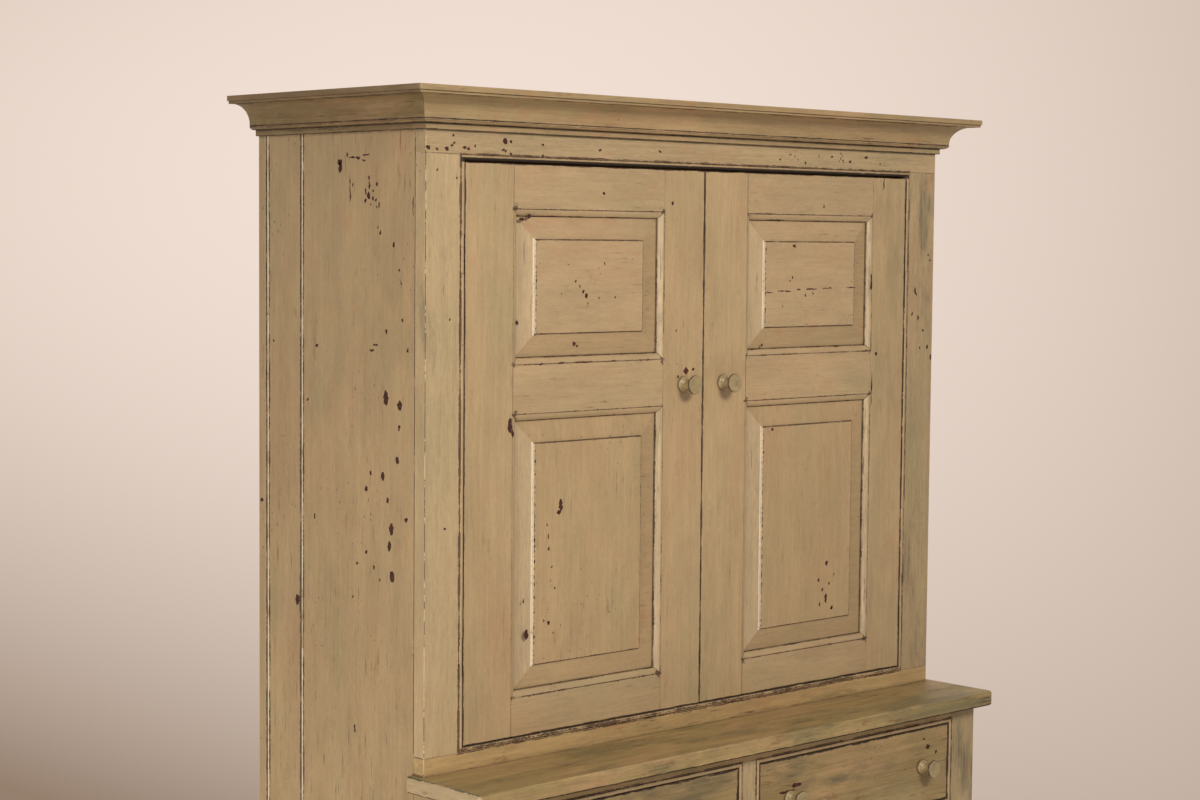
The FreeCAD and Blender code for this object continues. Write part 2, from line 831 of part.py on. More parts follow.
hinge_axes = {
    "upper_door_left": ("upper_left + axis_to_bead", "upper_face", upper_hinges, 1),
    "upper_door_right": ("upper_right - axis_to_bead", "upper_face", upper_hinges, -1),
    "lower_door_left": ("axis_to_bead - lower_half", "lower_face", lower_hinges, 1),
    "lower_door_right": ("lower_half - axis_to_bead", "lower_face", lower_hinges, -1),
}
fixed_leaves = []
for name, (x, face, bottoms, side_to_door) in hinge_axes.items():
    moving_leaves = []
    for number, bottom in enumerate(bottoms, start=1):
        place = (x, face, bottom)
        fixed_leaves.append(frame_leaf(f"{name}_fixed_leaf_{number}", *place, side_to_door))
        moving_leaves.append(door_leaf(f"{name}_leaf_{number}", *place, side_to_door))
    group(f"{name}_hinge_leaves", moving_leaves)
group("frame_hinges", fixed_leaves)

# Doors


def past_edge(near, far):
    return f"{far} + ({far} - ({near})) * cut_past / mould_wide"


def moulding(near, far):
    """Wood cut away over a moulded edge, from its quirk to its inner edge, in section."""
    return [
        (near, "-hair"),
        (near, "mould_quirk", "mould_radius", (far, "mould_quirk")),
        (far, "mould_drop"),
        (past_edge(near, far), "mould_drop"),
        (past_edge(near, far), "-hair"),
    ]


def groove(near, far):
    """Panel groove behind a moulded edge, in section."""
    bottom = f"{far} - ({far} - ({near})) * groove_deep / mould_wide"
    across = (bottom, past_edge(near, far))
    return rectangle(across, ("groove_front", "groove_front + groove_wide"))


def stile(label, plan, x, wide, side):
    """Upright of a door; side is the way to the panels. Mitred moulding meets the rails."""
    piece = body(label, x=x, y=plan["y"], z=plan["z"])
    inner = mirrored(side, wide)
    sight = mirrored(side, f"{wide} + mould_wide")
    outline = [("0", "0"), (inner, "0")]
    for low, high in plan["openings"]:
        outline += [
            (inner, low), (sight, f"{low} + mould_wide"),
            (sight, f"{high} - mould_wide"), (inner, high),
        ]
    outline += [(inner, plan["height"]), ("0", plan["height"])]
    pad(piece, sketch(piece, "XZ", [outline]), "door_thick", forward=False)
    pocket(piece, sketch(piece, "XY", [moulding(inner, sight)]), forward=True)
    pocket(piece, sketch(piece, "XY", [groove(inner, sight)]), forward=True)
    tenon = ("tenon_front", "tenon_front + tenon_thick")
    mortises = [
        rectangle(tenon, (f"{low} + tenon_shoulder", f"{high} - tenon_shoulder"))
        for low, high in plan["rails"]
    ]
    drawn = sketch(piece, "YZ", mortises, offset=inner)
    pocket(piece, drawn, "tenon_long", forward=side < 0)
    return piece


def rail(label, plan, low, high):
    """Cross rail of a door with tenons at both ends and a moulded edge at each panel."""
    length = plan["rail_long"]
    piece = body(label, x=plan["rail_x"], y=plan["y"], z=plan["z"])
    outline = [("0", low)]
    sections = []
    if low != "0":
        sight = f"{low} - mould_wide"
        outline += [("mould_wide", sight), (f"{length} - mould_wide", sight)]
        sections.append((low, sight))
    outline += [(length, low), (length, high)]
    if high != plan["height"]:
        sight = f"{high} + mould_wide"
        outline += [(f"{length} - mould_wide", sight), ("mould_wide", sight)]
        sections.append((high, sight))
    outline.append(("0", high))
    pad(piece, sketch(piece, "XZ", [outline]), "door_thick", forward=False)
    for near, far in sections:
        cut = [swapped(corner) for corner in moulding(near, far)]
        pocket(piece, sketch(piece, "YZ", [cut], offset="-hair"), forward=True)
        cut = [swapped(corner) for corner in groove(near, far)]
        pocket(piece, sketch(piece, "YZ", [cut], offset="-hair"), forward=True)
    spine = rectangle(
        ("tenon_front", "tenon_front + tenon_thick"),
        (f"{low} + tenon_shoulder", f"{high} - tenon_shoulder"),
    )
    drawn = sketch(piece, "YZ", [spine], offset="-tenon_long")
    pad(piece, drawn, f"{length} + 2 * tenon_long")
    return piece


def bevel_cuts(length, plate_front):
    """Wedges cut off the two ends of a panel to leave its bevels, in section."""
    wedge = [("panel_rim", plate_front), ("panel_bevel", "bevel_front"), ("panel_rim", "bevel_front")]
    return [wedge, [(f"{length} - {across}", depth) for across, depth in wedge]]


def panel(label, plan, low, high):
    """Raised panel: a thin tongue in the grooves, a bevel, and a flat field with a small step."""
    corner_x = f"{plan['rail_x']} + mould_wide"
    corner_z = f"{plan['z']} + {low} + mould_wide"
    piece = body(label, x=corner_x, y=plan["y"], z=corner_z)
    wide = f"{plan['rail_long']} - 2 * mould_wide"
    tall = f"{high} - ({low}) - 2 * mould_wide"

    def inset(by):
        return rectangle((by, f"{wide} - ({by})"), (by, f"{tall} - ({by})"))

    plate_front = "groove_front + panel_play"
    drawn = sketch(piece, "XZ", [inset("-panel_tongue")], offset=f"-({plate_front})")
    pad(piece, drawn, "groove_wide - 2 * panel_play", forward=False)
    raised = sketch(piece, "XZ", [inset("panel_rim")], offset="-bevel_front")
    pad(piece, raised, f"{plate_front} - bevel_front", forward=False)
    across = bevel_cuts(wide, plate_front)
    pocket(piece, sketch(piece, "XY", across), forward=True)
    upright = [[swapped(corner) for corner in cut] for cut in bevel_cuts(tall, plate_front)]
    pocket(piece, sketch(piece, "YZ", upright), forward=True)
    field = sketch(piece, "XZ", [inset("panel_bevel")], offset="-field_front")
    pad(piece, field, "bevel_front - field_front", forward=False)
    return piece


def knob(label, x, y, z):
    """A turned knob, screwed on from behind: flat head, tapering neck and round base."""
    piece = body(label, x=x, y=y, z=z)
    half = [
        ("0", "-knob_front"),
        ("knob_head", "-knob_front"),
        ("knob_head", "-knob_rim_back"),
        ("knob_neck", "-knob_neck_front"),
        ("knob_neck", "-knob_base_front"),
        ("knob_base", "-knob_base_front"),
        ("knob_base", "0"),
        ("0", "0"),
    ]
    drawn = sketch(piece, "XY", [half])
    turned = piece.newObject("PartDesign::Revolution", "turning")
    turned.Profile = drawn
    turned.ReferenceAxis = (drawn, ["V_Axis"])
    turned.Angle = 360
    return piece


def hinge_seats(piece, side, bottoms):
    """Shallow seats for the moving leaves in the outer edge of a hinge stile."""
    leaf = ("axis_back - door_back", "axis_back - door_back + leaf_back")
    seats = [rectangle(leaf, (bottom, f"{bottom} + hinge_long")) for bottom in bottoms]
    drawn = sketch(piece, "YZ", seats)
    pocket(piece, drawn, "door_leaf_far - axis_to_door", forward=side > 0)


def framed_door(name, plan, hinge_side):
    """One framed door. The hinge side is -1 when the door hangs on its left edge."""
    left, right = plan["stiles"]
    plan["rail_x"] = f"{plan['x']} + {left}"
    right_edge = f"{plan['rail_x']} + {plan['rail_long']} + {right}"
    labels = (f"{name}_hinge_stile", f"{name}_lock_stile")
    uprights = [
        stile(labels[hinge_side > 0], plan, plan["x"], left, 1),
        stile(labels[hinge_side < 0], plan, right_edge, right, -1),
    ]
    hinge_stile, lock_stile = uprights[::-hinge_side]
    hinge_seats(hinge_stile, -hinge_side, plan["hinges"])
    meeting_x = right_edge if hinge_side < 0 else plan["x"]
    knob_x = f"{meeting_x} + " + mirrored(hinge_side, "knob_inset")
    node(knob(f"{name}_knob", knob_x, plan["y"], f"{plan['z']} + {plan['knob']}"))
    rails = [
        rail(f"{name}_rail_{number}", plan, low, high)
        for number, (low, high) in enumerate(plan["rails"], start=1)
    ]
    panels = [
        panel(f"{name}_panel_{number}", plan, low, high)
        for number, (low, high) in enumerate(plan["openings"], start=1)
    ]
    return hinge_stile, lock_stile, rails, panels


upper_door = {
    "y": "upper_face + door_back",
    "z": "upper_door_z",
    "height": "upper_door_height",
    "rail_long": "upper_rail_long",
    "rails": [("0", "upper_door_foot"), ("lock_low", "lock_high"), ("head_low", "upper_door_height")],
    "openings": [("upper_door_foot", "lock_low"), ("lock_high", "head_low")],
    "hinges": ("upper_hinge_low", "upper_hinge_high"),
    "knob": "waist_height + knob_height - upper_door_z",
}
lower_door = {
    "y": "lower_face + door_back",
    "z": "lower_door_z",
    "height": "lower_door_height",
    "rail_long": "lower_rail_long",
    "rails": [("0", "lower_door_foot"), ("lower_head_low", "lower_door_height")],
    "openings": [("lower_door_foot", "lower_head_low")],
    "hinges": ("lower_hinge_low", "lower_hinge_high"),
    "knob": "lower_door_height / 2 + lower_door_foot",
}
upper_left_x = "upper_left + bead_wide + door_gap"
upper_right_x = f"{upper_left_x} + hinge_stile_left + upper_rail_long + lock_stile_left + meeting_gap"


def upper_door_pieces(side, direction, x, stiles):
    name = f"upper_door_{side}"
    plan = {**upper_door, "x": x, "stiles": stiles}
    hinge_stile, lock_stile, rails, panels = framed_door(name, plan, direction)
    node(hinge_stile)
    node(lock_stile)
    group(f"{name}_rails", rails)
    group(f"{name}_panels", panels)
    return lock_stile


def lower_door_pieces(side, direction, x):
    name = f"lower_door_{side}"
    plan = {**lower_door, "x": x, "stiles": ("lower_door_stile", "lower_door_stile")}
    hinge_stile, lock_stile, rails, panels = framed_door(name, plan, direction)
    group(f"{name}_frame", [hinge_stile, lock_stile, *rails])
    panels[0].Label = f"{name}_panel"
    node(panels[0])


left_lock_stile = upper_door_pieces("left", -1, upper_left_x, ("hinge_stile_left", "lock_stile_left"))
upper_door_pieces("right", 1, upper_right_x, ("lock_stile_right", "hinge_stile_right"))
lower_door_pieces("left", -1, "-(lower_half - bead_wide - door_gap)")
lower_door_pieces("right", 1, "meeting_gap / 2")


def diamond(x, z):
    return [
        (f"{x} - peg_half", z), (x, f"{z} - peg_half"),
        (f"{x} + peg_half", z), (x, f"{z} + peg_half"),
    ]


def diamond_peg():
    """A small square peg set cornerwise, flush with the left lock stile."""
    peg_z = f"{upper_door['knob']} + peg_over_knob"
    socket = sketch(left_lock_stile, "XZ", [diamond("-peg_inset", peg_z)])
    pocket(left_lock_stile, socket, "peg_deep")
    edge = f"{upper_right_x} - meeting_gap - peg_inset"
    piece = body("diamond_peg", x=edge, y=upper_door["y"], z=f"upper_door_z + {peg_z}")
    pad(piece, sketch(piece, "XZ", [diamond("0", "0")]), "peg_deep", forward=False)
    return node(piece)


diamond_peg()

# Drawers


tail_count = int(value("tail_count"))


def tail(root, tip):
    """One dovetail in the plane of a drawer side, from its root to its wider tip."""
    centre = "tail_pitch / 2"
    return [
        (root, f"{centre} - tail_root"), (tip, f"{centre} - tail_tip"),
        (tip, f"{centre} + tail_tip"), (root, f"{centre} + tail_root"),
    ]


def drawer_side(label, x, y, side):
    """A drawer side with tails at both ends and a groove for the bottom."""
    piece = body(label, x=x, y=y, z="drawer_floor_z")
    root = "drawer_front_thick"
    rear = "drawer_long - drawer_side_thick"
    board = rectangle((root, rear), ("0", "drawer_side_height"))
    pad(piece, sketch(piece, "YZ", [board]), "drawer_side_thick")
    for ends in ((root, "drawer_lap"), (rear, "drawer_long")):
        drawn = sketch(piece, "YZ", [tail(*ends)])
        pattern(piece, pad(piece, drawn, "drawer_side_thick"), drawn, "tail_pitch", tail_count)
    slot = rectangle(("0", "drawer_long"), ("drawer_floor_rise", "drawer_back_z"))
    inner = "drawer_side_thick" if side < 0 else "0"
    drawn = sketch(piece, "YZ", [slot], offset=inner)
    piece.Tip = pocket(piece, drawn, "drawer_floor_groove", forward=side > 0)
    return piece


def socket_row(piece, ends, at, side):
    """Sockets for the tails in one end of a drawer front or back."""
    drawn = sketch(piece, "YZ", [tail(*ends)], offset=at)
    cut = pocket(piece, drawn, "drawer_side_thick", forward=side < 0)
    pattern(piece, cut, drawn, "tail_pitch", tail_count)


def drawer_front(label, x, y):
    piece = body(label, x=x, y=y, z="drawer_floor_z")
    face = rectangle(("0", "drawer_wide"), ("0", "drawer_height"))
    pad(piece, sketch(piece, "XZ", [face]), "drawer_front_thick", forward=False)
    slot = rectangle(
        ("drawer_front_thick - drawer_floor_groove", "drawer_front_thick"),
        ("drawer_floor_rise", "drawer_back_z"),
    )
    drawn = sketch(piece, "YZ", [slot], offset="drawer_floor_groove")
    pocket(piece, drawn, "drawer_wide - 2 * drawer_floor_groove", forward=True)
    ends = ("drawer_front_thick", "drawer_lap")
    socket_row(piece, ends, "0", -1)
    socket_row(piece, ends, "drawer_wide", 1)
    return node(piece)


def drawer_back(label, x, y):
    piece = body(label, x=x, y=f"{y} + drawer_long - drawer_side_thick", z="drawer_floor_z")
    board = rectangle(("0", "drawer_wide"), ("drawer_back_z", "drawer_side_height"))
    pad(piece, sketch(piece, "XZ", [board]), "drawer_side_thick", forward=False)
    ends = ("0", "drawer_side_thick")
    socket_row(piece, ends, "0", -1)
    socket_row(piece, ends, "drawer_wide", 1)
    return piece


def drawer(side, x):
    name = f"drawer_{side}"
    y = "lower_face + door_back"
    drawer_front(f"{name}_front", x, y)
    far_x = f"{x} + drawer_wide - drawer_side_thick"
    left = drawer_side(f"{name}_side_left", x, y, -1)
    right = drawer_side(f"{name}_side_right", far_x, y, 1)
    rear = drawer_back(f"{name}_back", x, y)
    group(f"{name}_box", [left, right, rear])
    node(box(
        f"{name}_bottom",
        (f"{x} + drawer_floor_groove", f"{x} + drawer_wide - drawer_floor_groove"),
        (f"{y} + drawer_front_thick - drawer_floor_groove", f"{y} + drawer_long"),
        ("drawer_floor_z + drawer_floor_rise", "drawer_floor_z + drawer_back_z"),
    ))
    height = "drawer_floor_z + drawer_height / 2"
    spots = (f"{x} + drawer_knob_inset", f"{x} + drawer_wide - drawer_knob_inset")
    knobs = [knob(f"{name}_knob_{number}", spot, y, height) for number, spot in enumerate(spots, 1)]
    group(f"{name}_knobs", knobs)


drawer_left_x = "bead_wide + drawer_gap - lower_half"
drawer_right_x = "mullion_half + bead_wide + drawer_gap"
drawer("left", drawer_left_x)
drawer("right", drawer_right_x)

# Waist shelf, floors, shelves, runners and stops


def waist_shelf():
    """The shelf over the drawers, with a horn past each side of the upper frame."""
    piece = body("waist_shelf", z="waist_low")
    half = "half_width + waist_horn"
    outline = [
        (f"-({half})", "front_edge"), (half, "front_edge"), (half, "upper_inside"),
        ("half_width", "upper_inside"), ("half_width", "upper_face"),
        ("-half_width", "upper_face"), ("-half_width", "upper_inside"),
        (f"-({half})", "upper_inside"),
    ]
    base = pad(piece, sketch(piece, "XY", [outline]), "waist_thick")
    corners = round_corners(piece, base, "waist_corner", "front_edge")
    inside = value("half_width") + near_enough
    nose = piece.newObject("PartDesign::Chamfer", "nose")
    nose.Base = edges_of(
        corners,
        lambda start, end: abs(start.z - end.z) < near_enough and min(abs(start.x), abs(end.x)) > inside,
    )
    nose.setExpression("Size", cells("waist_nose"))
    return node(piece)


def housed_board(label, front, z):
    """A floor or shelf with its ends in the housings of the sides."""
    return box(label, ("-housed_half", "housed_half"), (front, "back_inside"), z)


waist_shelf()
node(housed_board("upper_floor", "upper_inside", ("waist_low", "waist_height")))
shelf_front = "upper_face + upper_shelf_back"
upper_shelves = []
for label in ("upper_shelf_low", "upper_shelf_high"):
    level = f"waist_height + {label}"
    upper_shelves.append(housed_board(label, shelf_front, (level, f"{level} + board_thick")))
group("upper_shelves", upper_shelves)
node(housed_board("lower_floor", "lower_inside", ("base_rail_top - board_thick", "base_rail_top")))
level = ("lower_shelf - board_thick", "lower_shelf")
node(housed_board("lower_shelf", "lower_inside + lower_shelf_back", level))

drawer_bay = ("lower_face + drawer_rail_depth", "back_inside")
runner_x = {
    "left": ("-inside_half", "runner_wide - inside_half"),
    "middle": ("-runner_wide / 2", "runner_wide / 2"),
    "right": ("inside_half - runner_wide", "inside_half"),
}
guide_x = {
    "left": ("-inside_half", f"{drawer_left_x} - hair"),
    "middle": (f"hair - ({drawer_right_x})", f"{drawer_right_x} - hair"),
    "right": (f"{drawer_right_x} + drawer_wide + hair", "inside_half"),
}
runner_z = ("runner_top - runner_thick", "runner_top")
guide_z = ("runner_top", "runner_top + board_thick")
kicker_z = ("drawer_floor_z + drawer_side_height + 3 * hair", "waist_low")
kicker_y = ("lower_inside", "back_inside")
runners = [box(f"runner_{name}", x, drawer_bay, runner_z) for name, x in runner_x.items()]
runners += [box(f"guide_{name}", x, drawer_bay, guide_z) for name, x in guide_x.items()]
runners += [box(f"kicker_{name}", x, kicker_y, kicker_z) for name, x in runner_x.items()]
group("drawer_runners", runners)

stop_y = "lower_face + door_back + drawer_front_thick + hair"
stops = []
for name, x in (("left", drawer_left_x), ("right", drawer_right_x)):
    starts = (f"{x} + stop_inset", f"{x} + drawer_wide - stop_inset - stop_wide")
    for number, start in enumerate(starts, start=1):
        stops.append(box(
            f"drawer_stop_{name}_{number}",
            (start, f"{start} + stop_wide"),
            (stop_y, f"{stop_y} + stop_deep"),
            ("drawers_low", "drawer_floor_z + stop_rise"),
        ))

upper_stop_x = ("upper_left", "upper_right")
upper_stop_y = ("upper_inside", "upper_inside + door_stop")
lower_stop_x = ("-lower_half", "lower_half")
lower_stop_y = ("lower_inside", "lower_inside + door_stop")
upper_door_top = "upper_door_z + upper_door_height"
lower_door_top = "lower_door_z + lower_door_height"
stops += [
    box("upper_stop_high", upper_stop_x, upper_stop_y,
        (f"{upper_door_top} - door_stop_tall / 2", "upper_high + door_stop_tall / 2")),
    box("upper_stop_low", upper_stop_x, upper_stop_y,
        ("waist_height", "upper_door_z + door_stop_tall / 2")),
    box("lower_stop_high", lower_stop_x, lower_stop_y,
        (f"{lower_door_top} - door_stop_tall / 2", "cupboard_high")),
    box("lower_stop_low", lower_stop_x, lower_stop_y,
        ("base_rail_top", "lower_door_z + door_stop_tall / 2")),
]
group("door_and_drawer_stops", stops)

# Check and write

doc.recompute()
for item in doc.Objects:
    if "Invalid" in item.State or "Error" in item.State:
        raise RuntimeError(f"{item.Label} did not rebuild: {item.State}")
    if item.TypeId == "PartDesign::Pocket":
        removed = item.BaseFeature.Shape.Volume - item.Shape.Volume
        if removed < 1:
            raise RuntimeError(f"{item.getParent().Label}: a pocket cuts nothing")
labels = [piece.Label for piece in nodes]
if len(set(labels)) != len(labels):
    raise RuntimeError("two nodes share a label")
for piece in nodes:
    shape = piece.Shape
    if shape.isNull() or not shape.isValid() or not shape.Solids:
        raise RuntimeError(f"{piece.Label} has no valid solid")
    shape.exportStep(f"parts/{piece.Label}.step")
print(len(nodes), "nodes,", sum(len(piece.Shape.Solids) for piece in nodes), "solids")
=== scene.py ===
import bmesh
import bpy
import json
import math
from mathutils import Matrix, Vector
from mathutils.kdtree import KDTree

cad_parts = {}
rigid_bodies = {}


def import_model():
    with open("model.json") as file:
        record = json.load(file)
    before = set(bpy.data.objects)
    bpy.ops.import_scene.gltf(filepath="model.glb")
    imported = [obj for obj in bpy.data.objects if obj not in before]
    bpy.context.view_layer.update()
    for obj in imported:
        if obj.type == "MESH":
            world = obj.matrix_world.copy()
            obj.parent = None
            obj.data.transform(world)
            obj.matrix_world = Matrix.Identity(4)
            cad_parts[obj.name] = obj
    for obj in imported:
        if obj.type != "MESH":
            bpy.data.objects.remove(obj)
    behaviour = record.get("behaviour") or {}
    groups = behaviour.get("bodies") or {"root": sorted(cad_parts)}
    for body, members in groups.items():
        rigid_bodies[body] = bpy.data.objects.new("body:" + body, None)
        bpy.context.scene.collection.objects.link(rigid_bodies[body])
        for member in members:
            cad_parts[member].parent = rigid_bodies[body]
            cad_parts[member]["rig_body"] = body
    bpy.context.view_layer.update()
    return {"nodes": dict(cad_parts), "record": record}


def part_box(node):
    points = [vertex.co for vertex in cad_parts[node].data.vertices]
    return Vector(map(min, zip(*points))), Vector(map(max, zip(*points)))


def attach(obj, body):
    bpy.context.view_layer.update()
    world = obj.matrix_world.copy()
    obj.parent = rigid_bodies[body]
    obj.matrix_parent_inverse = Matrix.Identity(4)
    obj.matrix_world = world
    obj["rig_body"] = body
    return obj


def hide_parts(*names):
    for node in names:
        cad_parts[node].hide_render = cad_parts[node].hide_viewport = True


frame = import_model()
scene = bpy.context.scene
nodes = frame["nodes"]
bodyOf = {name: node["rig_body"] for name, node in nodes.items()}
slotOf = {piece["node"]: piece["material_slot"] for piece in frame["record"]["subparts"]}
mm = 0.001
print("frame loaded:", len(nodes), "nodes")


def isSocket(value):
    return isinstance(value, bpy.types.NodeSocket)


def plugAll(node, values):
    # each value is a socket to link from, or a plain setting
    for name, value in values.items():
        if isSocket(value):
            node.id_data.links.new(value, node.inputs[name])
        else:
            node.inputs[name].default_value = value


def addNode(kind, inputs, tree=None, **settings):
    # without a tree of its own, the node joins that of the sockets that feed it
    if tree is None:
        tree = next(value.id_data for value in inputs.values() if isSocket(value))
    node = tree.nodes.new(kind if "Node" in kind else "ShaderNode" + kind)
    for name, setting in settings.items():
        setattr(node, name, setting)
    plugAll(node, inputs)
    return node


def firstOf(kind, inputs, tree=None, **settings):
    return addNode(kind, inputs, tree, **settings).outputs[0]


def stretched(place, scale, shift=(0, 0, 0)):
    return firstOf("Mapping", {"Vector": place, "Scale": scale, "Location": shift})


def noise(place, scale=1.0, detail=2.0, rough=0.5, bend=0.0):
    inputs = {"Vector": place, "Scale": scale, "Detail": detail, "Roughness": rough, "Distortion": bend}
    return firstOf("TexNoise", inputs)


def drawnNoise(place, scale, detail=2.0, rough=0.5, shift=(0, 0, 0), bend=0.0):
    # noise with a scale for each axis, the third along the grain
    return noise(stretched(place, scale, shift), 1.0, detail, rough, bend)


def between(value, low, high, toLow=0.0, toHigh=1.0):
    inputs = {"Value": value, "From Min": low, "From Max": high, "To Min": toLow, "To Max": toHigh}
    return firstOf("MapRange", inputs)


def maths(operation, first, second=0.0):
    return firstOf("Math", {0: first, 1: second}, operation=operation)


def vectorMaths(operation, first, second):
    return firstOf("VectorMath", {0: first, 1: second}, operation=operation)


def chained(operation, values):
    # folds a row of values into one
    result = values[0]
    for value in values[1:]:
        result = maths(operation, result, value)
    return result


def product(*factors):
    return chained("MULTIPLY", factors)


def total(*terms):
    return chained("ADD", terms)


def tint(amount, below, above, blend="MIX"):
    inputs = {0: amount, 6: below, 7: above}
    return addNode("Mix", inputs, data_type="RGBA", blend_type=blend).outputs[2]


def scaledColour(colour, factor):
    grey = firstOf("CombineColor", {"Red": factor, "Green": factor, "Blue": factor})
    return tint(1.0, colour, grey, "MULTIPLY")


def rgb(red, green, blue):
    return (red, green, blue, 1.0)


def bumps(height, strength, depth):
    return firstOf("Bump", {"Height": height, "Strength": strength, "Distance": depth})


def newMaterial(name):
    material = bpy.data.materials.new(name)
    material.use_nodes = True
    return material, material.node_tree, material.node_tree.nodes["Principled BSDF"]


def finished(name, look, *values):
    # the look is a function that gives the inputs of the shader
    material, tree, shader = newMaterial(name)
    plugAll(shader, look(tree, *values))
    return material


def objectPlace(tree):
    return addNode("TexCoord", {}, tree).outputs["Object"]


# the texture's own Z follows the grain of the wood
grainTurns = {"Z": (0, 0, 0), "X": (0, math.pi / 2, 0), "Y": (math.pi / 2, 0, 0)}


def grainPlace(tree, grain, shift=(0, 0, 0)):
    inputs = {"Vector": objectPlace(tree), "Rotation": grainTurns[grain], "Location": shift}
    return firstOf("Mapping", inputs)


def closeness(tree, reach):
    # 1 deep in a corner, 0 on an open face
    hollow = addNode("AmbientOcclusion", {"Distance": reach}, tree, samples=6)
    return maths("SUBTRACT", 1.0, hollow.outputs["AO"])


def pushFrom(cloud, reach):
    # an offset any way, from the colour of a noise
    centred = vectorMaths("SUBTRACT", cloud.outputs["Color"], (0.5, 0.5, 0.5))
    return firstOf("VectorMath", {0: centred, "Scale": reach}, operation="SCALE")


def bent(place, reach, scale):
    # pushes a place about, to make round marks ragged
    cloud = addNode("TexNoise", {"Vector": place, "Scale": scale, "Detail": 2.0})
    return vectorMaths("ADD", place, pushFrom(cloud, 2.0 * reach))


def strewn(place, pitch, size, share, stretch):
    # ragged marks, one to each pitch where the share is 1
    ragged = bent(place, 0.6 * size, 0.7 / size)
    scale = (1 / pitch, 1 / pitch, 1 / (pitch * stretch))
    cells = addNode("TexVoronoi", {"Vector": stretched(ragged, scale), "Scale": 1.0})
    lot = addNode("SeparateColor", {"Color": cells.outputs["Color"]})
    chosen = between(lot.outputs["Red"], 1 - share, 1.02 - share)
    reach = between(lot.outputs["Green"], 0, 1, 0.25 * size / pitch, size / pitch)
    inside = maths("SUBTRACT", reach, cells.outputs["Distance"])
    return product(chosen, between(inside, 0.0, 0.15 * size / pitch))


frontWay = {
    "beadWide": 8 * mm,
    "gap": 1.5 * mm,
    "panelTongue": 7.75 * mm,
    "mouldWide": 11 * mm,
    "fieldSkin": 0.1 * mm,
    "bevelBehind": 4.3 * mm,   # from a raised field to the middle of its bevel
    "litCreamStep": 1.3 * mm,
    "weld": 0.02 * mm,
}
sides = ("left", "right")


def both(*patterns):
    # names for the left side, then for the right
    return [pattern.format(side) for side in sides for pattern in patterns]


def outlineOf(low, high, grow=0.0):
    # an outline on the front is (centre x, centre z, half width, half height)
    return (
        (low.x + high.x) / 2, (low.z + high.z) / 2,
        (high.x - low.x) / 2 + grow, (high.z - low.z) / 2 + grow,
    )


def extent(points):
    # the lowest and the highest corner
    return [Vector(pick(point[axis] for point in points) for axis in range(3)) for pick in (min, max)]


def boxAround(*names):
    return extent([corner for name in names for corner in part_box(name)])


stilesOf = {side: [f"upper_door_{side}_{board}_stile" for board in ("hinge", "lock")] for side in sides}
upperDoors = {side: boxAround(*stilesOf[side]) for side in sides}
lowerDoors = {side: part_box(f"lower_door_{side}_frame") for side in sides}
drawers = {side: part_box(f"drawer_{side}_front") for side in sides}
toOpening = frontWay["beadWide"] + frontWay["gap"]

openings = [outlineOf(*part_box("upper_opening_beads"))]
openings += [outlineOf(*drawers[side], toOpening) for side in sides]
openings += [outlineOf(*boxAround(*both("lower_door_{}_frame")), toOpening)]
movingEdges = [outlineOf(*boxes[side]) for boxes in (upperDoors, lowerDoors, drawers) for side in sides]


def solidsIn(mesh):
    # a welded bmesh of each closed solid in a mesh of loose triangles
    tree = KDTree(len(mesh.vertices))
    for vertex in mesh.vertices:
        tree.insert(vertex.co, vertex.index)
    tree.balance()
    same = {}
    for vertex in mesh.vertices:
        if vertex.index not in same:
            for found in tree.find_range(vertex.co, frontWay["weld"]):
                same.setdefault(found[1], vertex.index)
    triangles = [[same[i] for i in face.vertices] for face in mesh.polygons]
    sharers = {}
    for number, corners in enumerate(triangles):
        for first, second in zip(corners, corners[1:] + corners[:1]):
            sharers.setdefault(frozenset((first, second)), []).append(number)
    leader = list(range(len(triangles)))

    def leaderOf(index):
        while leader[index] != index:
            leader[index] = leader[leader[index]]
            index = leader[index]
        return index

    # an edge that touching solids share is paired face by face, in their order
    for faces in sharers.values():
        for first, second in zip(faces[::2], faces[1::2]):
            leader[leaderOf(first)] = leaderOf(second)
    groups = {}
    for number, corners in enumerate(triangles):
        groups.setdefault(leaderOf(number), []).append(corners)
    for group in groups.values():
        solid = bmesh.new()
        made = {}
        for corners in group:
            if len(set(corners)) < 3:
                continue
            for corner in corners:
                if corner not in made:
                    made[corner] = solid.verts.new(mesh.vertices[corner].co)
            solid.faces.new([made[corner] for corner in corners])
        yield solid


def cornersIn(name):
    # the corners of each solid of a node
    for solid in solidsIn(nodes[name].data):
        points = [vertex.co.copy() for vertex in solid.verts]
        solid.free()
        yield points


raisedFields = []
panelEdges = []
for name in both("upper_door_{}_panels") + both("lower_door_{}_panel"):
    for points in cornersIn(name):
        panelLow, panelHigh = extent(points)
        field = [point for point in points if point.y < panelLow.y + frontWay["fieldSkin"]]
        raisedFields.append(outlineOf(*extent(field)))
        panelEdges.append(outlineOf(panelLow, panelHigh, -frontWay["panelTongue"]))
mould, step = frontWay["mouldWide"], frontWay["litCreamStep"]
mouldEdges = [(x, z, wide + mould, tall + mould) for x, z, wide, tall in panelEdges]
leftSteps = [(x - wide - step, z, 0, tall) for x, z, wide, tall in raisedFields]
dottedSteps = [(x - wide + step, z, 0, tall) for x, z, wide, tall in raisedFields]
print("outlines found:", len(openings), len(movingEdges), len(raisedFields))


def spotOn(tree):
    return addNode("SeparateXYZ", {"Vector": objectPlace(tree)}).outputs


def offFrom(spot, axis, level):
    return maths("ABSOLUTE", maths("SUBTRACT", spot[axis], level))


def offOutlines(tree, outlines):
    # how far outside each outline, across and up
    spot = spotOn(tree)
    for x, z, wide, tall in outlines:
        yield (
            maths("SUBTRACT", offFrom(spot, "X", x), wide),
            maths("SUBTRACT", offFrom(spot, "Z", z), tall),
        )


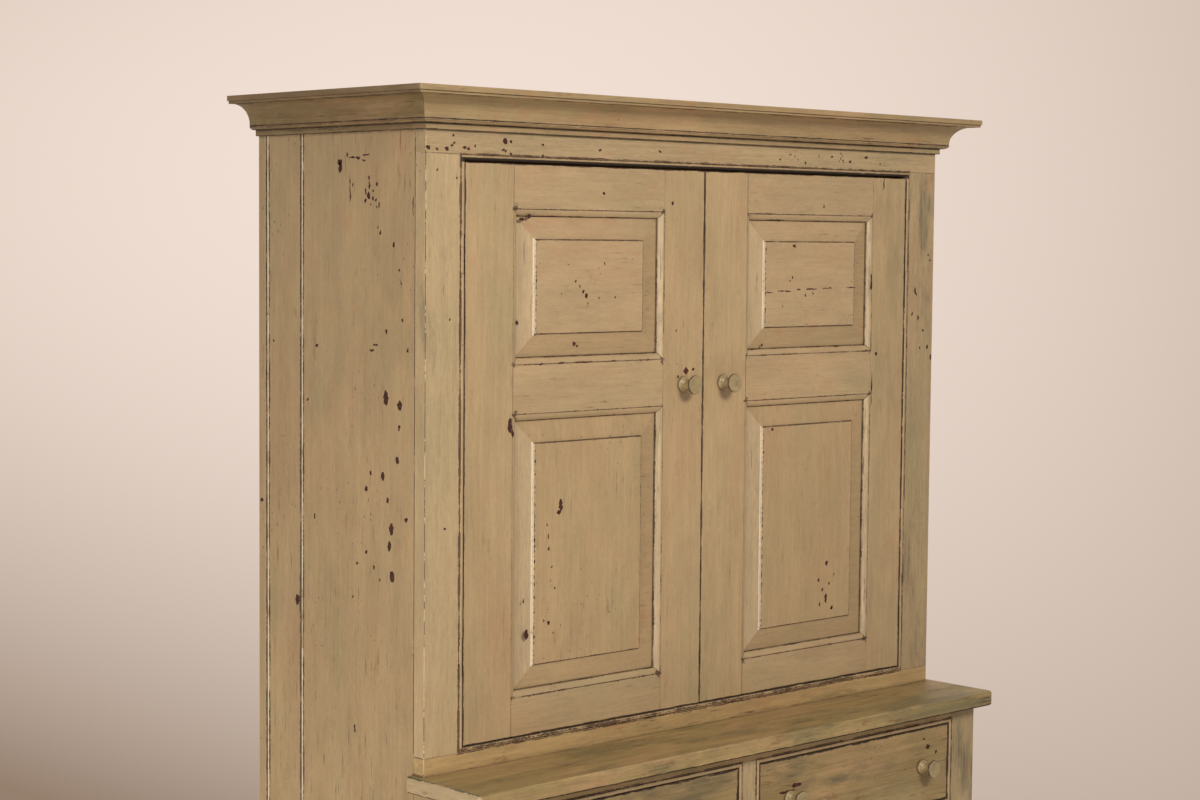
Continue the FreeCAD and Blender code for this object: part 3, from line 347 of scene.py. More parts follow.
def nearOutline(tree, outlines):
    # distance to the nearest outline, whichever side of it
    offsets = [maths("MAXIMUM", across, up) for across, up in offOutlines(tree, outlines)]
    return chained("MINIMUM", [maths("ABSOLUTE", offset) for offset in offsets])


def nearCorner(tree, outlines):
    # distance to the nearest corner of an outline
    offsets = offOutlines(tree, outlines)
    squares = [total(product(across, across), product(up, up)) for across, up in offsets]
    return maths("SQRT", chained("MINIMUM", squares))


def nearLevel(tree, axis, levels, drops):
    spot = spotOn(tree)
    lines = [level - drop * mm for level in levels for drop in drops]
    return chained("MINIMUM", [offFrom(spot, axis, line) for line in lines])


def brokenLine(apart, reach, fullness, seed, fine):
    # a line of wandering width, broken where it isn't full; fine breaks make it a row of dots
    place = stretched(objectPlace(apart.id_data), (1, 1, 1), (seed, 2 * seed, 3 * seed))
    wander = noise(place, 24.0, 5.0, 0.68)
    rough = noise(place, 220.0, 2.0, 0.6)
    mixed = total(product(wander, 1 - fine), product(rough, fine))
    width = between(mixed, 0.62 - 0.36 * fullness, 0.86 - 0.36 * fullness, 0.0, reach)
    return between(maths("SUBTRACT", width, apart), 0.0, 0.25 * reach)


paintWay = {
    "bareBrown": rgb(0.070, 0.032, 0.016),
    "rust": rgb(0.190, 0.080, 0.036),
    "redStain": rgb(0.430, 0.170, 0.080),
    # near black, for grime and for painted shade in corners and gaps
    "grimeAndShade": rgb(0.018, 0.010, 0.006),
    "dustPink": rgb(0.470, 0.275, 0.140),
    "sage": rgb(0.345, 0.280, 0.140),
    "mossGrey": rgb(0.125, 0.112, 0.052),
    "seaGrey": rgb(0.050, 0.058, 0.040),
    "cream": rgb(0.820, 0.690, 0.500),
    "bump": 0.4 * mm,
}

doorLow, doorHigh = upperDoors["left"]
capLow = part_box("cap_board")[0].z
seams = [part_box(name)[0].y for name in ("side_left_rear_board", "back_planks")]
shoulders = [x + way * wide for x, _, wide, _ in mouldEdges for way in (-1, 1)]
outlineSets = {
    "openings": openings, "movingEdges": movingEdges, "raisedFields": raisedFields, "leftSteps": leftSteps,
    "dottedSteps": dottedSteps, "panelEdges": panelEdges, "mouldEdges": mouldEdges,
}
# (axis, levels on it, how far before or below them the lines lie in millimetres)
levelSets = {
    "shoulders": ("X", shoulders, [0]),
    "topGap": ("Z", [doorHigh.z], [-4]),
    "bottomBead": ("Z", [doorLow.z], [5]),
    "shelfUnder": ("Z", [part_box("waist_shelf")[0].z], [0]),
    "shelfOver": ("Z", [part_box("waist_shelf")[1].z], [0]),
    "boardEdges": ("Y", [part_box("side_left_main_board")[0].y], [0]),
    "seams": ("Y", seams, [-0.6, 7.4]),
    "paleSeams": ("Y", seams, [3.6]),
    "crownSteps": ("Z", [capLow], [38.5, 45.0, 54.5]),
    "capUnder": ("Z", [capLow], [4.5]),
}

# (what the line follows, reach in millimetres, fullness, colour, amount, fine breaks)
lineSpecs = {
    "frame": [("openings", 3.2, 0.84, "bareBrown", 0.92, 0.25)],
    "bead": [
        ("openings", 2.2, 0.92, "bareBrown", 0.90, 0.25),
        # painted shadow: black on the beads in the gaps beside and above the doors
        ("movingEdges", 3.0, 1.10, "grimeAndShade", 1.0, 0.1),
        ("topGap", 4.2, 1.15, "grimeAndShade", 1.0, 0.1),
        ("bottomBead", 4.5, 0.62, "bareBrown", 0.88, 0.35),
    ],
    "door": [
        ("movingEdges", 2.2, 0.72, "bareBrown", 0.90, 0.25),
        ("mouldEdges", 1.0, 0.96, "rust", 0.45, 0.2),
        ("mouldEdges", 2.4, 0.40, "bareBrown", 0.80, 0.35),
        ("corners", 8.0, 0.52, "bareBrown", 0.75, 0.4),
        ("panelEdges", 1.0, 0.96, "bareBrown", 0.55, 0.2),
        ("panelEdges", 2.2, 0.40, "grimeAndShade", 0.85, 0.3),
    ],
    "rail": [
        ("movingEdges", 2.2, 0.72, "bareBrown", 0.90, 0.25),
        ("mouldEdges", 1.1, 0.94, "bareBrown", 0.45, 0.2),
        ("mouldEdges", 3.4, 0.46, "bareBrown", 0.90, 0.4),
        ("corners", 15.0, 0.62, "bareBrown", 0.85, 0.45),
        ("panelEdges", 1.2, 0.96, "bareBrown", 0.60, 0.2),
        ("panelEdges", 2.6, 0.52, "grimeAndShade", 0.92, 0.3),
        ("shoulders", 1.2, 0.85, "bareBrown", 0.60, 0.2),
    ],
    "panel": [
        ("raisedFields", 1.4, 0.92, "bareBrown", 0.65, 0.3),
        ("raisedFields", 2.4, 0.46, "grimeAndShade", 0.85, 0.5),
        # painted highlight: a cream line by the step on the left of each raised field
        ("leftSteps", 2.3, 1.10, "cream", 0.95, 0.3),
        ("dottedSteps", 3.6, 0.48, "grimeAndShade", 0.95, 1.0),
        ("panelEdges", 1.2, 0.92, "bareBrown", 0.60, 0.2),
        ("panelEdges", 2.4, 0.44, "grimeAndShade", 0.90, 0.3),
    ],
    "drawer": [("movingEdges", 3.6, 0.78, "grimeAndShade", 0.94, 0.25)],
    "side": [
        ("seams", 2.8, 0.68, "grimeAndShade", 0.88, 0.3),
        ("paleSeams", 3.4, 0.76, "cream", 0.75, 0.3),
        ("boardEdges", 1.5, 0.60, "grimeAndShade", 0.80, 0.3),
    ],
    "shelf": [("shelfUnder", 3.5, 1.0, "grimeAndShade", 0.9, 0.2)],
    "shelfEnd": [
        ("shelfUnder", 3.0, 0.8, "grimeAndShade", 0.9, 0.2),
        ("shelfOver", 2.6, 0.7, "seaGrey", 0.9, 0.2),
    ],
    "crown": [
        ("crownSteps", 1.2, 1.00, "bareBrown", 0.80, 0.25),
        ("crownSteps", 2.4, 0.52, "grimeAndShade", 0.88, 0.3),
        ("capUnder", 1.6, 0.50, "bareBrown", 0.70, 0.25),
    ],
}

# families whose lines show on the front only
frontFamilies = ("frame", "bead", "door", "rail", "panel", "drawer")

# a stain is (where it starts in its noise, amount, colour)
plainLook = {
    "brush": 1.0, "fine": 1.0, "flecks": 1.0, "mottle": 1.0, "red": 1.0, "wear": 1.0,
    "stain": (0.60, 0.30, "mossGrey"),
}
# (linear colour, grain, shift, family of lines, amounts other than plain)
paintLooks = {
    "frameUpright": ((0.452, 0.325, 0.174), "Z", (0, 0, 0), "frame",
        {"stain": (0.58, 0.45, "seaGrey"), "mottle": 1.3, "flecks": 1.6}),
    # a darker copy of the frame paint: painted shade on the right-hand stiles, with more smudges and red
    "frameShadedSmudged": ((0.405, 0.288, 0.150), "Z", (0, 6, 3), "frame",
        {"stain": (0.52, 0.60, "seaGrey"), "red": 1.4, "mottle": 1.5, "flecks": 1.8}),
    "frameLevel": ((0.430, 0.305, 0.160), "X", (3, 1, 0), "frame",
        {"flecks": 1.8, "brush": 1.2, "mottle": 1.3}),
    "waistLevel": ((0.445, 0.292, 0.126), "X", (4, 6, 5), "frame",
        {"flecks": 1.8, "wear": 2.4, "brush": 1.6, "red": 1.4, "stain": (0.54, 0.60, "mossGrey")}),
    "beadPaint": ((0.410, 0.280, 0.145), "Z", (3, 4, 2), "bead", {}),
    "doorUpright": ((0.440, 0.303, 0.156), "Z", (5, 0, 0), "door",
        {"brush": 0.8, "fine": 0.6, "mottle": 1.6}),
    "doorLevel": ((0.446, 0.308, 0.162), "X", (3, 6, 0), "rail",
        {"brush": 0.7, "fine": 0.6, "mottle": 1.3}),
    "panelUpright": ((0.432, 0.294, 0.148), "Z", (5, 2, 1), "panel",
        {"brush": 0.7, "fine": 0.55, "mottle": 1.4, "flecks": 1.5}),
    "panelLevel": ((0.448, 0.307, 0.162), "X", (5, 2, 7), "panel",
        {"brush": 0.5, "fine": 0.55, "mottle": 1.5, "red": 1.6}),
    # lit and shaded copies of the panel paint, for the bevels that look left and those that look right or
    # down
    "bevelLit": ((0.490, 0.352, 0.200), "Z", (5, 2, 4), "panel", {}),
    "bevelShaded": ((0.405, 0.273, 0.137), "X", (5, 8, 4), "panel", {"brush": 0.8, "fine": 0.6, "red": 1.6}),
    "sideUpright": ((0.415, 0.285, 0.145), "Z", (1, 7, 2), "side",
        {"flecks": 2.6, "brush": 0.7, "mottle": 1.7, "fine": 0.6, "wear": 1.2}),
    "crownLevel": ((0.355, 0.242, 0.115), "X", (2, 2, 6), "crown",
        {"brush": 1.6, "wear": 1.5, "mottle": 1.8, "red": 1.5}),
    # darker copies of the crown paint: painted shade on the returns and the cap's ends
    "crownReturnShaded": ((0.185, 0.121, 0.048), "Y", (2, 4, 3), "crown",
        {"brush": 1.9, "wear": 1.6, "mottle": 1.8}),
    "capReturnShaded": ((0.180, 0.112, 0.052), "Y", (6, 4, 1), None, {"wear": 1.8, "brush": 2.0}),
    "shelfLevel": ((0.336, 0.235, 0.095), "X", (8, 3, 2), "shelf",
        {"wear": 2.6, "brush": 2.6, "mottle": 2.2, "stain": (0.48, 0.75, "mossGrey"), "red": 1.2}),
    "shelfEnd": ((0.465, 0.332, 0.185), "Y", (8, 3, 6), "shelfEnd", {"wear": 2.0, "mottle": 2.0}),
    "drawerLevel": ((0.293, 0.201, 0.084), "X", (4, 9, 2), "drawer",
        {"wear": 2.6, "flecks": 1.8, "brush": 2.2, "mottle": 2.0, "stain": (0.53, 0.62, "seaGrey")}),
    "hingePaint": ((0.400, 0.270, 0.140), "Z", (7, 4, 2), "bead", {"wear": 1.5}),
    # the cream is a painted highlight, with worn streaks, on moulded slopes that look left
    "litCreamUpright": ((0.500, 0.370, 0.220), "Z", (6, 1, 5), "door",
        {"wear": 2.6, "brush": 2.4, "stain": (0.52, 0.7, "mossGrey")}),
    # painted highlight on the steps that look left
    "litCreamStep": ((0.760, 0.600, 0.420), "Z", (6, 5, 5), None, {"flecks": 3.0, "brush": 1.5}),
}


def facingFront(tree):
    # 1 on faces that look to the front, 0 on edges and backs
    normal = addNode("TexCoord", {}, tree).outputs["Normal"]
    return between(addNode("SeparateXYZ", {"Vector": normal}).outputs["Y"], -0.10, -0.25)


def lineMask(tree, spec, number):
    follows, reach, fullness, _, amount, fine = spec
    if follows in levelSets:
        apart = nearLevel(tree, *levelSets[follows])
    elif follows == "corners":
        apart = nearCorner(tree, mouldEdges)
    else:
        apart = nearOutline(tree, outlineSets[follows])
    return product(brokenLine(apart, reach * mm, fullness, number + 1.0, fine), amount)


def over(amount, below, name):
    return tint(amount, below, paintWay[name])


def agedPaint(tree, paint, grain, shift, family, amounts):
    # brushed paint, rubbed and chipped down to brown wood, with grime and painted shade in its corners
    place = grainPlace(tree, grain, shift)
    amounts = {**plainLook, **amounts}
    stroke, fine, mottle, wear, reddened = (
        amounts[key] for key in ("brush", "fine", "mottle", "wear", "red")
    )

    def drawn(scale, *settings, **more):
        return drawnNoise(place, scale, *settings, **more)

    brush = drawn((150, 150, 4.5), 5.0, 0.70)
    hair = drawn((520, 520, 34), 3.0, 0.66)
    cloud = drawn((20, 20, 7), 5.0, 0.66, bend=0.4)
    level = total(
        between(drawn((3.2, 3.2, 1.3), 3.0), 0.3, 0.7, 0.93, 1.06),
        between(brush, 0.25, 0.75, -0.12 * stroke, 0.12 * stroke),
        between(hair, 0.25, 0.75, -0.14 * fine, 0.14 * fine),
        between(cloud, 0.3, 0.7, -0.06 * mottle, 0.06 * mottle),
        between(drawn((170, 170, 110), 3.0, 0.7), 0.3, 0.7, -0.045, 0.045),
    )

    # pink and sage undertones, grey-green smudges and red-brown rubbing
    patch = drawn((9, 9, 3.4), 5.0, 0.62, (3, 5, 1))
    colour = over(between(patch, 0.52, 0.70, 0.0, 0.26 * mottle), rgb(*paint), "dustPink")
    colour = over(between(patch, 0.48, 0.30, 0.0, 0.30 * mottle), colour, "sage")
    colour = scaledColour(colour, level)
    start, strength, stainName = amounts["stain"]
    smudge = drawn((17, 17, 5), 5.0, 0.66, (9, 2, 4))
    smudge = product(between(smudge, start, start + 0.12), between(brush, 0.36, 0.54), strength)
    colour = over(smudge, colour, stainName)
    edge = 0.04 * reddened
    red = drawn((16, 16, 9), 4.0, 0.62, (7, 3, 2))
    red = product(between(red, 0.66 - edge, 0.78 - edge), min(0.6, 0.25 * reddened))
    colour = over(red, colour, "redStain")
    edge = 0.02 * wear
    rubbed = drawn((42, 42, 12), 4.0, 0.7, (4, 4, 8))
    rubbed = product(between(rubbed, 0.66 - edge, 0.74 - edge), min(0.6, 0.28 * wear))
    colour = over(rubbed, colour, "rust")

    # brown dashes along the grain, in clusters
    edge = 0.03 * wear
    dash = drawn((240, 240, 14), 3.0, 0.72, (1, 1, 7))
    dash = between(dash, 0.67 - edge, 0.71 - edge)
    cluster = between(drawn((6, 6, 3), 3.0, shift=(4, 8, 1)), 0.48, 0.58)
    colour = over(product(dash, cluster, min(0.85, 0.5 * wear)), colour, "bareBrown")

    # chips and specks down to the wood
    amount = amounts["flecks"]
    where = between(noise(stretched(place, (1, 1, 1), (2, 9, 5)), 5.0), 0.50, 0.60)
    speck = product(strewn(place, 8 * mm, 1.5 * mm, 0.26 * amount, 1.5), where, 0.80)
    chip = product(strewn(place, 60 * mm, 3.2 * mm, 0.06 * amount, 1.4), 0.95)
    bare = maths("MAXIMUM", speck, chip)
    colour = over(bare, colour, "bareBrown")

    # dark broken lines along joints and quirks, and some cream ones; the black lines on the beads by the
    # doors are painted shadow in the gaps, and the cream line by each raised field's left step is a painted
    # highlight
    shown = facingFront(tree) if family in frontFamilies else 1.0
    for number, spec in enumerate(lineSpecs.get(family, [])):
        line = product(lineMask(tree, spec, number), shown)
        colour = over(line, colour, spec[3])
        bare = maths("MAXIMUM", bare, line)

    # grime and painted shade: darker in every corner and crevice that ambient occlusion finds
    broken = drawn((70, 70, 22), 4.0, 0.65, (2, 6, 9))
    shadeAndDirt = product(between(closeness(tree, 7 * mm), 0.16, 0.62), between(broken, 0.34, 0.60, 0.3, 1.0))
    colour = over(product(shadeAndDirt, 0.9), colour, "grimeAndShade")
    height = total(product(brush, 0.36), product(hair, 0.20), product(bare, -0.9))
    return {
        "Base Color": colour, "Specular IOR Level": 0.42, "Normal": bumps(height, 0.6, paintWay["bump"]),
        "Roughness": total(between(cloud, 0.3, 0.7, 0.42, 0.56), product(bare, 0.25)),
    }


def wornEdge(tree, grain, darkShare, paint, shift):
    # a broken line where paint has gone from an arris or a joint
    place = grainPlace(tree, grain, shift)
    long = drawnNoise(place, (60, 60, 26), 4.0, 0.70)
    short = drawnNoise(place, (320, 320, 150), 2.0, 0.6, (4, 1, 2))
    mixed = total(product(long, 0.7), product(short, 0.3))
    edge = 0.62 - 0.30 * darkShare
    dark = between(mixed, edge, edge + 0.05)
    colour = over(dark, paint, "bareBrown")
    black = between(drawnNoise(place, (30, 30, 7), shift=(8, 8, 3)), 0.5, 0.6)
    return {
        "Base Color": over(product(black, dark, 0.7), colour, "grimeAndShade"),
        "Roughness": 0.7, "Normal": bumps(mixed, 0.6, paintWay["bump"]),
    }


paints = {name: finished(name, agedPaint, *look) for name, look in paintLooks.items()}
# (grain, share that is dark, paint, shift)
edgeLooks = {
    "jointUpright": ("Z", 0.72, rgb(0.36, 0.25, 0.13), (0, 0, 0)),
    "jointLevel": ("X", 0.72, rgb(0.36, 0.25, 0.13), (0, 3, 0)),
    "jointReturn": ("Y", 0.72, rgb(0.36, 0.25, 0.13), (0, 3, 6)),
    "faintUpright": ("Z", 0.40, rgb(0.39, 0.27, 0.14), (2, 0, 0)),
    "faintLevel": ("X", 0.40, rgb(0.39, 0.27, 0.14), (2, 3, 0)),
    "arrisUpright": ("Z", 0.55, rgb(0.66, 0.52, 0.34), (5, 0, 0)),
    "arrisLevel": ("X", 0.60, rgb(0.52, 0.39, 0.23), (5, 3, 0)),
}
edges = {name: finished(name, wornEdge, *look) for name, look in edgeLooks.items()}
print("paints made:", len(paints) + len(edges))

woodWay = {
    "light": rgb(0.400, 0.245, 0.120),
    "dark": rgb(0.205, 0.110, 0.050),
    "knot": rgb(0.090, 0.042, 0.020),
}


def bareWood(tree, grain, shift, dusk=1.0):
    # old bare pine: rings drawn along the grain, pores, knots and stains
    place = grainPlace(tree, grain, shift)
    bend = drawnNoise(place, (5, 5, 0.8))
    wave = drawnNoise(place, (24, 24, 0.7))
    rings = maths("SINE", product(total(product(bend, 2.2), wave), 34.0))
    pores = drawnNoise(place, (900, 900, 16), rough=0.7)
    colour = tint(between(rings, -1, 1, 0.15, 0.62), woodWay["light"], woodWay["dark"])
    colour = tint(between(pores, 0.55, 0.72, 0, 0.6), colour, woodWay["knot"])
    knots = strewn(place, 210 * mm, 13 * mm, 0.30, 1.3)
    colour = tint(product(knots, 0.85), colour, woodWay["knot"])
    stain = between(noise(place, 3.2, 4.0, 0.6), 0.35, 0.7, 0.62 * dusk, 1.06 * dusk)
    height = maths("SUBTRACT", product(rings, 0.12), pores)
    return {
        "Base Color": scaledColour(colour, stain), "Roughness": between(pores, 0.3, 0.7, 0.62, 0.82),
        "Specular IOR Level": 0.30, "Normal": bumps(height, 0.5, 0.3 * mm),
    }


def oldIron(tree):
    rust = between(noise(objectPlace(tree), 160.0, 4.0, 0.65), 0.46, 0.66)
    return {
        "Base Color": tint(rust, rgb(0.070, 0.062, 0.055), rgb(0.155, 0.062, 0.026)),
        "Roughness": between(rust, 0, 1, 0.42, 0.85), "Metallic": between(rust, 0, 1, 0.85, 0.1),
        "Normal": bumps(rust, 0.4, 0.3 * mm),
    }


def darkWood(tree, light, dark):
    # the wood that shows in a chip, and in the peg
    grain = drawnNoise(objectPlace(tree), (500, 500, 60), 3.0, 0.6)
    return {
        "Base Color": tint(between(grain, 0.35, 0.65), dark, light), "Roughness": 0.8,
        "Specular IOR Level": 0.2, "Normal": bumps(grain, 0.5, 0.2 * mm),
    }


def knobPaint(tree, light, dark):
    # smooth rubbed paint with fine pits, and grime with painted shade round the turned rings
    place = objectPlace(tree)
    cloud = noise(place, 90.0, 4.0, 0.6)
    pits = between(noise(place, 620.0, 2.0, 0.6), 0.60, 0.68)
    colour = tint(between(cloud, 0.42, 0.68, 0.0, 0.55), light, dark)
    colour = over(product(pits, 0.6), colour, "bareBrown")
    shadeAndDirt = between(closeness(tree, 9 * mm), 0.20, 0.66, 0.0, 0.9)
    return {
        "Base Color": over(shadeAndDirt, colour, "grimeAndShade"), "Normal": bumps(cloud, 0.25, 0.3 * mm),
        "Roughness": between(cloud, 0.3, 0.7, 0.28, 0.45), "Specular IOR Level": 0.55,
        "Coat Weight": 0.15, "Coat Roughness": 0.20,
    }


woods = {
    "boardUpright": finished("boardUpright", bareWood, "Z", (0, 0, 0)),
    "boardLevel": finished("boardLevel", bareWood, "X", (3, 0, 1)),
    "boardDeep": finished("boardDeep", bareWood, "Y", (1, 5, 2), 0.9),
}
iron = finished("oldIron", oldIron)
chipWood = finished("chipWood", darkWood, rgb(0.088, 0.036, 0.026), rgb(0.026, 0.011, 0.008))
pegWood = finished("pegWood", darkWood, rgb(0.125, 0.044, 0.026), rgb(0.060, 0.020, 0.013))
knobFinish = finished("knobFinish", knobPaint, rgb(0.370, 0.275, 0.130), rgb(0.150, 0.105, 0.048))
# painted shade: the rim of each knob's head is near black
knobRimShade = finished("knobRimShade", knobPaint, rgb(0.100, 0.065, 0.035), rgb(0.025, 0.014, 0.009))
finishes = {**paints, **edges, **woods, "pegWood": pegWood}
print("wood, iron and knob paint made")

easing = {
    # how wide the arrises are softened
    "frame": 0.65 * mm, "door": 0.5 * mm, "bead": 0.35 * mm, "board": 1.0 * mm,
    "flat": math.radians(0.6),
    "sharp": math.radians(28),
    "smooth": math.cos(math.radians(34)),   # faces that turn less share their shading
    "corner": 1.5 * mm,   # how near the outside of the case an arris is on its corner
}


def keepFlat(mesh):
    # normals weighted by area keep broad faces flat beside their softened edges
    around = [[] for _ in mesh.vertices]
    for face in mesh.polygons:
        for corner in face.vertices:
            around[corner].append((face.normal.copy(), face.area))
    normals = []
    for face in mesh.polygons:
        own = face.normal.copy()
        for corner in face.vertices:
            shared = Vector()
            for normal, area in around[corner]:
                if own.dot(normal) > easing["smooth"]:
                    shared += normal * area
            normals.append(shared.normalized())
    mesh.normals_split_custom_set(normals)


def addPiece(name, mesh, body, slotName):
    piece = bpy.data.objects.new(name, mesh)
    scene.collection.objects.link(piece)
    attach(piece, body)
    return piece


def standIn(node, ending, mesh):
    # shows a finished mesh in place of a node
    piece = addPiece(node + ending, mesh, bodyOf[node], slotOf[node])
    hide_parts(node)


def eased(node, width, pick, materials):
    # a copy of a node with softened arrises; the softened faces come as number 1
    whole = bmesh.new()
    for solid in solidsIn(nodes[node].data):
        bmesh.ops.dissolve_limit(
            solid, angle_limit=easing["flat"], use_dissolve_boundaries=False,
            verts=solid.verts[:], edges=solid.edges[:],
        )
        sharp = [
            edge for edge in solid.edges
            if len(edge.link_faces) == 2 and edge.calc_face_angle(0) > easing["sharp"]
        ]
        bmesh.ops.bevel(
            solid, geom=sharp, offset=width, offset_type="OFFSET", segments=2,
            profile=0.5, affect="EDGES", clamp_overlap=True, material=1,
        )
        part = bpy.data.meshes.new("part")
        solid.to_mesh(part)
        solid.free()
        whole.from_mesh(part)
        bpy.data.meshes.remove(part)
    for face in whole.faces:
        face.smooth = True
        face.normal_update()
        face.material_index = pick(face)
    mesh = bpy.data.meshes.new(node + "_finish")
    whole.to_mesh(mesh)
    whole.free()
    for material in materials:
        mesh.materials.append(material)
    keepFlat(mesh)
    standIn(node, "_finish", mesh)


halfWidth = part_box("upper_top_rail")[1].x
panelSplit = max(z - tall for _, z, _, tall in panelEdges)

# how far the normals of sloping faces turn from the front
slopeWay = {
    "mouldLeft": 0.15, "mouldFront": 0.3, "mouldLevel": 0.1,
    "stepBack": 0.1, "bevelLeast": 0.03, "bevelMost": 0.3, "end": 0.5,
}


def outFrom(face):
    return abs(face.calc_center_median().x)


def onBevel(turn):
    return slopeWay["bevelLeast"] < turn < slopeWay["bevelMost"]


def plainPick(face):
    return face.material_index


def outerPick(face):
    # the outside corners of the case have the lighter arris
    onCorner = abs(outFrom(face) - halfWidth) < easing["corner"]
    return 2 if face.material_index == 1 and onCorner else face.material_index


def litCreamPick(face):
    # the moulded slopes that look to the left carry the cream paint, a painted highlight with worn streaks
    x, y, z = face.normal
    onMould = -x > slopeWay["mouldLeft"] and -y > slopeWay["mouldFront"]
    return 2 if onMould and abs(z) < slopeWay["mouldLevel"] else face.material_index


def panelPick(face):
    # the grain lies level in short panels; the step that looks left is cream, a painted highlight; bevels
    # that look left take a lit copy of the paint, and those that look right or down a shaded copy
    x, y, z = face.normal
    if -x > slopeWay["bevelMost"] and y < slopeWay["stepBack"]:
        return 3
    if face.material_index == 1:
        return 1
    if onBevel(-x):
        return 4
    if onBevel(x) or onBevel(-z):
        return 5
    return 2 if face.calc_center_median().z > panelSplit else 0


def plankPick(face):
    # the outermost edges of the back planks are painted with the sides
    return 2 if outFrom(face) > halfWidth - easing["corner"] else face.material_index


def endPick(face):
    # the ends of a board have a paint of their own
    return 2 if abs(face.normal.x) > slopeWay["end"] else face.material_index


# (nodes, easing, how a face picks its finish, finishes)
easedSets = (
    (["upper_stile_left", "lower_stile_left", "drawer_mullion"], "frame", outerPick,
     ("frameUpright", "faintUpright", "arrisUpright")),
    (["upper_stile_right", "lower_stile_right"], "frame", outerPick,
     ("frameShadedSmudged", "faintUpright", "arrisUpright")),
    (["upper_top_rail", "drawer_rail", "base_rail"], "frame", outerPick,
     ("frameLevel", "faintLevel", "arrisUpright")),
    (["upper_bottom_rail", "lower_top_rail"], "frame", outerPick,
     ("waistLevel", "faintLevel", "arrisUpright")),
    (["upper_opening_beads", "lower_opening_beads"], "bead", plainPick, ("beadPaint", "jointUpright")),
    (both("side_{}_main_board", "side_{}_rear_board", "side_{}_lower_board"), "board", plainPick,
     ("sideUpright", "jointUpright")),
    (both("crown_{}"), "bead", plainPick, ("crownReturnShaded", "jointReturn")),
    (both("upper_door_{}_hinge_stile", "upper_door_{}_lock_stile"), "door", litCreamPick,
     ("doorUpright", "jointUpright", "litCreamUpright")),
    (both("upper_door_{}_rails"), "door", plainPick, ("doorLevel", "jointLevel")),
    (both("lower_door_{}_frame"), "door", plainPick, ("doorUpright", "jointUpright")),
    (both("upper_door_{}_panels", "lower_door_{}_panel"), "door", panelPick,
     ("panelUpright", "jointUpright", "panelLevel", "litCreamStep", "bevelLit", "bevelShaded")),
    (both("drawer_{}_front"), "door", plainPick, ("drawerLevel", "jointLevel")),
    (["crown_front"], "bead", plainPick, ("crownLevel", "jointLevel")),
    (["cap_board"], "board", endPick, ("crownLevel", "arrisLevel", "capReturnShaded")),
    (["waist_shelf"], "board", endPick, ("shelfLevel", "arrisLevel", "shelfEnd")),
    (["back_planks"], "board", plankPick, ("boardUpright", "jointUpright", "sideUpright")),
)
for names, kind, pick, looks in easedSets:
    for name in names:
        eased(name, easing[kind], pick, [finishes[look] for look in looks])
print("arrises eased")

# nodes that keep their own meshes
plainSets = {
    "boardLevel": [
        "upper_floor", "upper_shelves", "lower_floor", "lower_shelf", "door_and_drawer_stops",
        *both("drawer_{}_bottom"),
    ],
    "boardDeep": ["drawer_runners", *both("drawer_{}_box")],
    "hingePaint": ["frame_hinges", *both("upper_door_{}_hinge_leaves", "lower_door_{}_hinge_leaves")],
    "pegWood": ["diamond_peg"],
}
for look, names in plainSets.items():
    for name in names:
        nodes[name].data.materials.clear()
        nodes[name].data.materials.append(finishes[look])

knobWay = {
    "turns": 56,
    "sharp": math.radians(40),
    # (radius, distance in front of the wood) in millimetres, from the face to the foot
    "face": [(0, 30.4), (6, 30.45), (12.6, 30.7), (14.4, 31.0), (15.2, 30.7)],
    "rim": [(15.8, 30.0), (16, 29.0), (16, 28.0), (15.6, 27.0)],
    "neck": [(14.2, 25.9), (11.4, 23.8), (9.0, 21.4), (7.8, 18.6), (7.5, 15.0), (7.6, 11.5), (8.2, 9.4)],
    "foot": [(9.6, 8.6), (10.3, 7.6), (10.1, 6.5), (11.2, 6.0), (12.4, 5.0), (12.8, 3.6),
             (12.8, 1.0), (12.5, 0.0)],
}


def turnedKnob(mesh, centre):
    # one knob added to a mesh; its axis meets the wood at the centre
    profile = knobWay["face"] + knobWay["rim"] + knobWay["neck"] + knobWay["foot"]
    rimStart = len(knobWay["face"]) - 1
    rimEnd = rimStart + len(knobWay["rim"])
    turns = knobWay["turns"]
    rings = []
    for radius, out in profile:
        ring = []
        for step in range(turns if radius else 1):
            angle = 2 * math.pi * step / turns
            offset = Vector((radius * math.cos(angle), -out, radius * math.sin(angle))) * mm
            ring.append(mesh.verts.new(centre + offset))
        rings.append(ring)
    for number, (inner, outer) in enumerate(zip(rings, rings[1:])):
        for step in range(turns):
            after = (step + 1) % turns
            if len(inner) == 1:
                face = mesh.faces.new((inner[0], outer[step], outer[after]))
            else:
                face = mesh.faces.new((inner[step], outer[step], outer[after], inner[after]))
            # the rim faces take the knob paint with painted shade
            face.material_index = 1 if rimStart <= number < rimEnd else 0
    mesh.faces.new(rings[-1])


def knobs(node, centres):
    mesh = bmesh.new()
    for centre in centres:
        turnedKnob(mesh, centre)
    bmesh.ops.recalc_face_normals(mesh, faces=mesh.faces[:])
    for face in mesh.faces:
        face.smooth = True
    data = bpy.data.meshes.new(node + "_turned")
    mesh.to_mesh(data)
    mesh.free()
    data.materials.append(knobFinish)
    data.materials.append(knobRimShade)
    data.set_sharp_from_angle(angle=knobWay["sharp"])
    standIn(node, "_turned", data)


for name in both("upper_door_{}_knob", "lower_door_{}_knob"):
    low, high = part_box(name)
    knobs(name, [Vector(((low.x + high.x) / 2, high.y, (low.z + high.z) / 2))])
for name in both("drawer_{}_knobs"):
    low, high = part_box(name)
    radius = (high.z - low.z) / 2
    knobs(name, [Vector((x, high.y, low.z + radius)) for x in (low.x + radius, high.x - radius)])
print("knobs turned")

# flat heads on points, for chips and nails
headWay = {
    "inputs": {"thickness": "Float", "unevenness": "Float", "facing": "Vector", "finish": "Material"},
    "rimPoints": 20,
    "roughScale": 260.0,
    "turns": {
        "front": (math.pi / 2, 0, 0), "left": (0, -math.pi / 2, 0), "back": (-math.pi / 2, 0, 0),
    },
}


